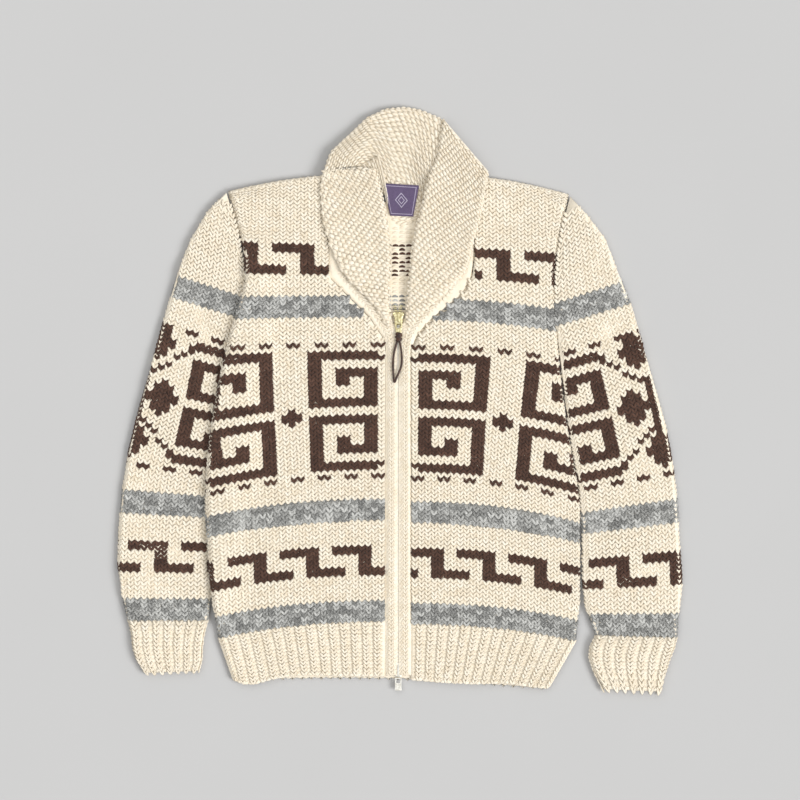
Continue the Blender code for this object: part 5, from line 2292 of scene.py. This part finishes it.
class Bench:
    """A bench for hard pieces: primitives shaped by edit-mode operators."""

    @staticmethod
    def clear() -> None:
        """Leave edit mode and deselect everything."""
        if bpy.context.object is not None and bpy.context.object.mode != "OBJECT":
            bpy.ops.object.mode_set(mode="OBJECT")
        bpy.ops.object.select_all(action="DESELECT")

    @classmethod
    def block(cls, name: str, low: Sequence[float], high: Sequence[float]) -> bpy.types.Object:
        """Add a block by its two corners and open it in edit mode.

        Args:
            name: Name of the piece.
            low: Lowest corner, in millimetres.
            high: Highest corner.

        Returns:
            The block, with nothing on it selected.
        """
        cls.clear()
        low, high = np.array(low) * MM, np.array(high) * MM
        bpy.ops.mesh.primitive_cube_add(size=1.0, location=tuple((low + high) / 2))
        return cls.start(name, tuple(high - low))

    @classmethod
    def start(cls, name: str, scale: Sequence[float] = (1.0, 1.0, 1.0)) -> bpy.types.Object:
        """Name the new primitive, apply its place and size, and open it in edit mode.

        Args:
            name: Name of the piece.
            scale: Its size.

        Returns:
            The piece, with nothing on it selected.
        """
        piece = bpy.context.object
        piece.name = piece.data.name = name
        piece.scale = scale
        bpy.ops.object.transform_apply(location=True, rotation=True, scale=True)
        bpy.ops.object.mode_set(mode="EDIT")
        bpy.ops.mesh.select_all(action="DESELECT")
        return piece

    @staticmethod
    def faces(chosen: Callable[[Array, Array], bool]) -> None:
        """Select faces.

        Args:
            chosen: Test of a face's middle, in millimetres, and its normal.
        """
        bpy.ops.mesh.select_mode(type="FACE")
        bpy.ops.mesh.select_all(action="DESELECT")
        mesh = bmesh.from_edit_mesh(bpy.context.object.data)
        for face in mesh.faces:
            middle = np.array(face.calc_center_median()) / MM
            face.select_set(bool(chosen(middle, np.array(face.normal))))
        bmesh.update_edit_mesh(bpy.context.object.data)

    @staticmethod
    def edges(chosen: Callable[[Array, Array], bool]) -> None:
        """Select edges.

        Args:
            chosen: Test of an edge's two ends, in millimetres.
        """
        bpy.ops.mesh.select_mode(type="EDGE")
        bpy.ops.mesh.select_all(action="DESELECT")
        mesh = bmesh.from_edit_mesh(bpy.context.object.data)
        for edge in mesh.edges:
            one, two = (np.array(vert.co) / MM for vert in edge.verts)
            edge.select_set(bool(chosen(one, two)))
        bmesh.update_edit_mesh(bpy.context.object.data)

    @staticmethod
    def extrude(x: float = 0.0, y: float = 0.0, z: float = 0.0,
                grow: tuple[float, float] = (1.0, 1.0)) -> None:
        """Extrude the selected faces, then scale the new end across.

        Args:
            x: Move across, in millimetres.
            y: Move along.
            z: Move up.
            grow: Scale across and along.
        """
        bpy.ops.mesh.extrude_region_move(TRANSFORM_OT_translate={"value": (x * MM, y * MM, z * MM)})
        bpy.ops.transform.resize(value=(*grow, 1.0))

    @staticmethod
    def inset(thickness: float, depth: float = 0.0) -> None:
        """Inset the selected faces, in millimetres."""
        bpy.ops.mesh.inset(thickness=thickness * MM, depth=depth * MM)

    @staticmethod
    def bevel(offset: float, segments: int = 2) -> None:
        """Round the selected edges, in millimetres."""
        bpy.ops.mesh.bevel(offset=offset * MM, segments=segments, affect="EDGES", clamp_overlap=True)

    @classmethod
    def done(cls, piece: bpy.types.Object, material: bpy.types.Material, body: str, slot: str,
             *nodes: str) -> bpy.types.Object:
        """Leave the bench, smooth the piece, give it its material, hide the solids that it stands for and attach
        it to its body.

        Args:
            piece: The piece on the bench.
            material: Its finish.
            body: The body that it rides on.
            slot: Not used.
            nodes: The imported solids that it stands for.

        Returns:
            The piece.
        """
        bpy.ops.mesh.select_all(action="SELECT")
        bpy.ops.mesh.normals_make_consistent(inside=False)
        cls.clear()
        piece.select_set(True)
        bpy.context.view_layer.objects.active = piece
        bpy.ops.object.shade_smooth_by_angle(angle=math.radians(38.0))
        piece.data.materials.clear()
        piece.data.materials.append(material)
        if nodes:
            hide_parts(*nodes)
        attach(piece, body)
        cls.clear()
        LOG.info("%s rides on %s", piece.name, body)
        return piece


@dataclass
class Zip:
    """Tapes, teeth, sliders and pulls."""

    tape_wide: float = 13.0
    bottom: float = -356.7
    top: float = 101.6
    pitch: float = 2.9
    slider_low: float = 102.0
    slider_wide: float = 17.0

    def build(self, kit: Kit) -> None:
        """Build every piece of the zip in turn.

        Args:
            kit: The shared finishes.
        """
        for side in Side:
            self.tape(kit, side)
        self.teeth(kit)
        self.top_slider(kit)
        self.top_link(kit)
        self.thong(kit)
        self.bottom_slider(kit)
        self.bottom_tab(kit)

    def tape(self, kit: Kit, side: Side) -> None:
        """Build one woven tape, from the teeth to under its band.

        Args:
            kit: The shared finishes.
            side: Which tape.
        """
        near = ZIP_X + side.value * 0.5
        xs = np.linspace(near, near + side.value * self.tape_wide, 8)
        if side is Side.RIGHT:
            xs = xs[::-1]
        ys = np.linspace(self.top, self.bottom, 90)
        grid = np.array([[(x, y, FRONT_Z + 0.95) for x in xs] for y in ys])
        tape = shell_piece(f"zip_tape_{side.word}_cloth", grid, grid - (0.0, 0.0, 0.9), kit.tape)
        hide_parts(f"zip_tape_{side.word}")
        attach(tape, "garment")

    def tooth(self) -> tuple[Array, list[tuple[int, ...]]]:
        """Model one tooth at the origin: a block with a narrower cup on its inner end.

        Returns:
            Its points in millimetres and its faces.
        """
        piece = Bench.block("zip_tooth_pattern", (-3.0, -0.75, -1.1), (-0.6, 0.75, 1.1))
        Bench.faces(lambda middle, normal: normal[0] > 0.9)
        Bench.extrude(x=1.5, grow=(1.0, 0.66))
        Bench.faces(lambda middle, normal: normal[2] > 0.9 and middle[0] < -0.6)
        Bench.inset(0.35, -0.25)
        Bench.edges(lambda one, two: abs(one[1] - two[1]) < 0.1 and abs(one[1]) > 0.7 and abs(one[2]) > 1.0)
        Bench.bevel(0.3, 1)
        Bench.clear()
        points = np.array([tuple(vert.co) for vert in piece.data.vertices]) / MM
        faces = [tuple(face.vertices) for face in piece.data.polygons]
        bpy.data.objects.remove(piece)
        return points, faces

    def teeth(self, kit: Kit) -> None:
        """Copy the tooth down both edges, and up the two open ends above the slider.

        Args:
            kit: The shared finishes.
        """
        points, faces = self.tooth()
        rows: dict[str, list[tuple[float, float, float, int]]] = {"zip_chain": []}
        steps = int((self.top - self.bottom) / self.pitch)
        for step in range(steps):
            y = self.bottom + 1.0 + self.pitch * step
            rows["zip_chain"] += [(ZIP_X, y, 7.0, 1), (ZIP_X, y + self.pitch / 2, 7.0, -1)]
        for side in Side:
            low, high = box_mm(f"zip_teeth_{side.word}")
            row = []
            for step in range(3):
                share = (step + 0.5) / 3
                middle = (low[0] + high[0]) / 2 + side.value * (share - 0.5) * 2.4
                row.append((middle - side.value * 1.2, low[1] + share * (high[1] - low[1]), 7.0, -side.value))
            rows[f"zip_teeth_{side.word}"] = row
        for node, places in rows.items():
            co, rings = [], []
            for x, y, z, turn in places:
                base = sum(map(len, co))
                co.append(points * (turn, turn, 1.0) + (x, y, z))
                rings += [tuple(base + i for i in face) for face in faces]
            mesh = bpy.data.meshes.new(f"{node}_metal")
            mesh.from_pydata((np.concatenate(co) * MM).tolist(), [], rings)
            piece = bpy.data.objects.new(f"{node}_metal", mesh)
            bpy.context.scene.collection.objects.link(piece)
            Bench.clear()
            bpy.context.view_layer.objects.active = piece
            piece.select_set(True)
            bpy.ops.object.mode_set(mode="EDIT")
            Bench.done(piece, kit.steel if node == "zip_chain" else kit.brass, "garment",
                       "pale_metal" if node == "zip_chain" else "brass", node)

    def top_slider(self, kit: Kit) -> None:
        """Cast body with wide shoulders, a waist and a bridge that holds the link.

        Args:
            kit: The shared finishes.
        """
        half = self.slider_wide / 2
        x, foot = -2.0, self.slider_low
        waist = half * 0.62
        body = Bench.block("slider_top_body", (x - waist, foot, 5.3), (x + waist, foot + 9.0, 10.6))
        Bench.faces(lambda middle, normal: normal[1] > 0.9)
        Bench.extrude(y=5.5, grow=(1.55, 1.0))
        Bench.faces(lambda middle, normal: normal[1] > 0.9)
        Bench.extrude(y=3.4, grow=(0.8, 1.0))
        Bench.edges(lambda one, two: True)
        Bench.bevel(0.9, 3)
        Bench.faces(lambda middle, normal: normal[2] > 0.99 and middle[2] > 10.0)
        Bench.inset(0.8, -0.35)
        Bench.done(body, kit.brass, "garment", "brass", "slider_top")
        bridge = Bench.block("slider_top_bridge", (x - 1.5, foot + 14.4, 9.9), (x + 1.5, foot + 16.6, 11.4))
        Bench.faces(lambda middle, normal: normal[2] > 0.9)
        Bench.extrude(y=-1.2, z=1.5, grow=(0.96, 1.0))
        Bench.faces(lambda middle, normal: normal[1] < -0.6 and middle[2] > 11.4)
        Bench.extrude(y=-4.6, z=0.45)
        Bench.extrude(y=-4.4, z=-0.45)
        Bench.faces(lambda middle, normal: normal[2] < -0.8 and middle[1] < foot + 7.2)
        Bench.extrude(y=0.5, z=-2.0, grow=(0.96, 0.8))
        Bench.edges(lambda one, two: True)
        Bench.bevel(0.42, 2)
        Bench.done(bridge, kit.brass, "garment", "brass")

    def top_link(self, kit: Kit) -> None:
        """Tapered plate with a window above and a bar for the lace below.

        Args:
            kit: The shared finishes.
        """
        low, high = box_mm("pull_link")
        side = np.array((0.4, 0.0, 0.0))
        link = Bench.block("pull_link_plate", low + side, high - side)
        middle_x = float((low[0] + high[0]) / 2)
        Bench.faces(lambda middle, normal: normal[1] < -0.9)
        bpy.ops.transform.resize(value=(0.7, 1.0, 1.0),
                                 center_override=(middle_x * MM, low[1] * MM, low[2] * MM))
        bpy.ops.mesh.select_all(action="DESELECT")
        Bench.faces(lambda middle, normal: abs(normal[2]) > 0.9)
        bpy.ops.mesh.inset(thickness=1.7 * MM, use_individual=True)
        bpy.ops.transform.resize(value=(1.0, 0.62, 1.0),
                                 center_override=(middle_x * MM, (high[1] - 1.2) * MM, float(low[2]) * MM))
        bpy.ops.mesh.bridge_edge_loops()
        Bench.edges(lambda one, two: abs(one[2] - two[2]) < 0.01)
        Bench.bevel(0.3, 2)
        Bench.edges(lambda one, two: abs(one[2] - two[2]) > 0.8)
        Bench.bevel(0.9, 3)
        Bench.done(link, kit.brass, "top_pull", "brass", "pull_link")

    def thong(self, kit: Kit) -> None:
        """A dark leather lace: a wrapped knot on the link and a long closed loop below it.

        Args:
            kit: The shared finishes.
        """
        x, y, z = -1.7, 85.3, float(box_mm("pull_thong")[0][2]) + 2.15
        wraps = []
        for shift, lean, wide in ((4.1, 0.16, 3.5), (1.5, -0.34, 4.1), (-1.2, 0.38, 4.0), (-3.9, -0.15, 3.0)):
            Bench.clear()
            centre = (x * MM, (y + shift) * MM, z * MM)
            bpy.ops.mesh.primitive_torus_add(
                major_segments=28, minor_segments=12, major_radius=wide * 0.62 * MM, minor_radius=2.05 * MM,
                location=centre, rotation=(math.pi / 2, 0.0, 0.0))
            wrap = Bench.start("pull_thong_knot")
            bpy.ops.mesh.select_all(action="SELECT")
            bpy.ops.transform.resize(value=(1.12, 1.05, 0.5), center_override=centre)
            bpy.ops.transform.rotate(value=lean, orient_axis="Z", center_override=centre)
            Bench.clear()
            wraps.append(wrap)
        lace = bpy.data.curves.new("pull_thong_lace", "CURVE")
        lace.dimensions = "3D"
        lace.bevel_depth = 1.45 * MM
        lace.bevel_resolution = 4
        lace.resolution_u = 5
        spline = lace.splines.new("NURBS")
        loop = ((-1.4, -2.0), (-3.0, -9.0), (-5.4, -16.0), (-7.2, -26.0), (-7.7, -36.0), (-7.5, -46.0),
                (-7.1, -54.0), (-6.6, -60.0), (-5.5, -61.6), (-4.4, -58.8), (-2.4, -53.0), (1.0, -46.5),
                (3.4, -40.0), (4.2, -33.0), (4.1, -25.0), (3.2, -16.0), (1.6, -8.0), (0.6, -2.0))
        spline.points.add(len(loop) - 1)
        for point, (dx, dy) in zip(spline.points, loop):
            rise = 0.25 * math.sin(dy / 9.0)
            point.co = ((x + dx) * MM, (y + dy) * MM, (z - 0.75 + rise) * MM, 1.0)
            point.radius = 1.0 + 0.1 * math.sin(dy / 4.0 + dx)
        spline.order_u = 4
        spline.use_cyclic_u = True
        loop_piece = bpy.data.objects.new("pull_thong_lace", lace)
        bpy.context.scene.collection.objects.link(loop_piece)
        Bench.clear()
        for piece in (*wraps, loop_piece):
            piece.select_set(True)
        bpy.context.view_layer.objects.active = loop_piece
        bpy.ops.object.convert(target="MESH")
        bpy.context.view_layer.objects.active = wraps[0]
        bpy.ops.object.join()
        bpy.ops.object.mode_set(mode="EDIT")
        Bench.done(wraps[0], kit.leather, "top_pull", "brown_leather", "pull_thong")

    def bottom_slider(self, kit: Kit) -> None:
        """Slim lower slider with a raised spine.

        Args:
            kit: The shared finishes.
        """
        low, high = box_mm("slider_bottom")
        body = Bench.block("slider_bottom_body", low, (high[0], high[1] - 3.0, high[2]))
        Bench.faces(lambda middle, normal: normal[1] > 0.9)
        Bench.extrude(y=3.0, grow=(0.55, 1.0))
        Bench.edges(lambda one, two: True)
        Bench.bevel(0.6, 2)
        Bench.faces(lambda middle, normal: normal[2] > 0.99 and middle[2] > high[2] - 0.3)
        Bench.inset(2.2)
        Bench.extrude(z=1.7, grow=(0.8, 0.94))
        Bench.faces(lambda middle, normal: normal[2] > 0.99 and middle[2] > high[2] + 1.0)
        Bench.inset(0.35)
        Bench.done(body, kit.steel, "garment", "pale_metal", "slider_bottom")

    def bottom_tab(self, kit: Kit) -> None:
        """Pale tab of the lower slider, with a window at its neck and a rounded end.

        Args:
            kit: The shared finishes.
        """
        low, high = box_mm("pull_bottom")
        side, foot = np.array((0.9, 0.0, 0.0)), np.array((0.0, 3.0, 0.0))
        tab = Bench.block("pull_bottom_plate", low + side + foot, high - side)
        Bench.faces(lambda middle, normal: normal[1] < -0.9)
        Bench.extrude(y=-3.0, grow=(1.16, 1.0))
        middle_x = float((low[0] + high[0]) / 2)
        Bench.faces(lambda middle, normal: abs(normal[2]) > 0.9 and middle[1] > low[1] + 3.0)
        bpy.ops.mesh.inset(thickness=1.6 * MM, use_individual=True)
        bpy.ops.transform.resize(value=(1.0, 0.5, 1.0),
                                 center_override=(middle_x * MM, (high[1] - 1.6) * MM, float(low[2]) * MM))
        bpy.ops.mesh.bridge_edge_loops()
        Bench.edges(lambda one, two: abs(one[2] - two[2]) > 0.8)
        Bench.bevel(1.0, 3)
        Bench.edges(lambda one, two: abs(one[2] - two[2]) < 0.01 and abs(one[2] - low[2]) > 0.1)
        Bench.bevel(0.22, 2)
        Bench.done(tab, kit.steel, "bottom_pull", "pale_metal", "pull_bottom")


# --- Studio -----------------------------------------------------------------------------------------------


@dataclass
class Studio:
    """Pale floor, soft lights and a camera straight above."""

    height: float = 7.0
    view: float = 1.088
    floor: tuple[float, float, float] = (0.50, 0.50, 0.50)
    key_power: float = 2.4
    top_power: float = 1.1
    fill: float = 0.46

    def build(self) -> None:
        """Set up the camera, the floor and the lights."""
        scene = bpy.context.scene
        scene.view_settings.view_transform = "Standard"
        data = bpy.data.cameras.new("camera_above")
        data.sensor_width = 36.0
        data.lens = 36.0 * self.height / self.view
        data.clip_end = 50.0
        camera = bpy.data.objects.new("camera_above", data)
        camera.location = (0.0, 0.0, self.height)
        scene.collection.objects.link(camera)
        scene.camera = camera
        bpy.ops.object.select_all(action="DESELECT")
        bpy.ops.mesh.primitive_plane_add(size=9.0, location=(0.0, 0.0, -0.0008))
        floor = bpy.context.object
        floor.name = "studio_floor"
        n = Nodes("studio_paper")
        tone = n.noise(3.0, 2.0)
        deep = tuple(0.985 * part for part in self.floor)
        n.wire(n.ramp(tone, ((0.3, deep), (0.7, self.floor))), n.shader.inputs["Base Color"])
        n.shader.inputs["Roughness"].default_value = 0.95
        n.shader.inputs["Specular IOR Level"].default_value = 0.1
        floor.data.materials.append(n.material)
        for name, place, wide, power in (("key_light", (2.3, -0.9, 2.2), 28.0, self.key_power),
                                         ("top_light", (-0.5, 0.8, 3.0), 80.0, self.top_power)):
            lamp = bpy.data.lights.new(name, "SUN")
            lamp.angle = math.radians(wide)
            lamp.energy = power
            holder = bpy.data.objects.new(name, lamp)
            holder.location = place
            holder.rotation_euler = (-Vector(place)).to_track_quat("-Z", "Y").to_euler()
            scene.collection.objects.link(holder)
        world = bpy.data.worlds.new("studio_world")
        world.use_nodes = True
        world.node_tree.nodes["Background"].inputs["Color"].default_value = (1.0, 0.99, 0.97, 1.0)
        world.node_tree.nodes["Background"].inputs["Strength"].default_value = self.fill
        scene.world = world


def main() -> None:
    """Build the studio and every sub-assembly."""
    logging.basicConfig(level=logging.INFO, format="%(name)s: %(message)s")
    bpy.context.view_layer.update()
    Studio().build()
    kit = Kit.make()
    BackPanel().build(kit)
    BackRib().build(kit)
    for side, edge in ((Side.RIGHT, -21.0), (Side.LEFT, 15.6)):
        FrontPanel(side, edge).build(kit)
        HemRib(side).build(kit)
        Sleeve(side).build(kit)
        Cuff(side).build(kit)
        ZipBand(side).build(kit)
        CollarFront(side, 0.6 if side is Side.RIGHT else -0.25).build(kit)
    CollarBack().build(kit)
    PocketWelt(Side.RIGHT, (0.255, 0.79)).build(kit)
    PocketWelt(Side.LEFT, (0.206, 0.773)).build(kit)
    NeckLabel().build(kit)
    Zip().build(kit)
    LOG.info("stitches: %d triangles", kit.knitter.triangles)


if __name__ == "__main__":
    main()
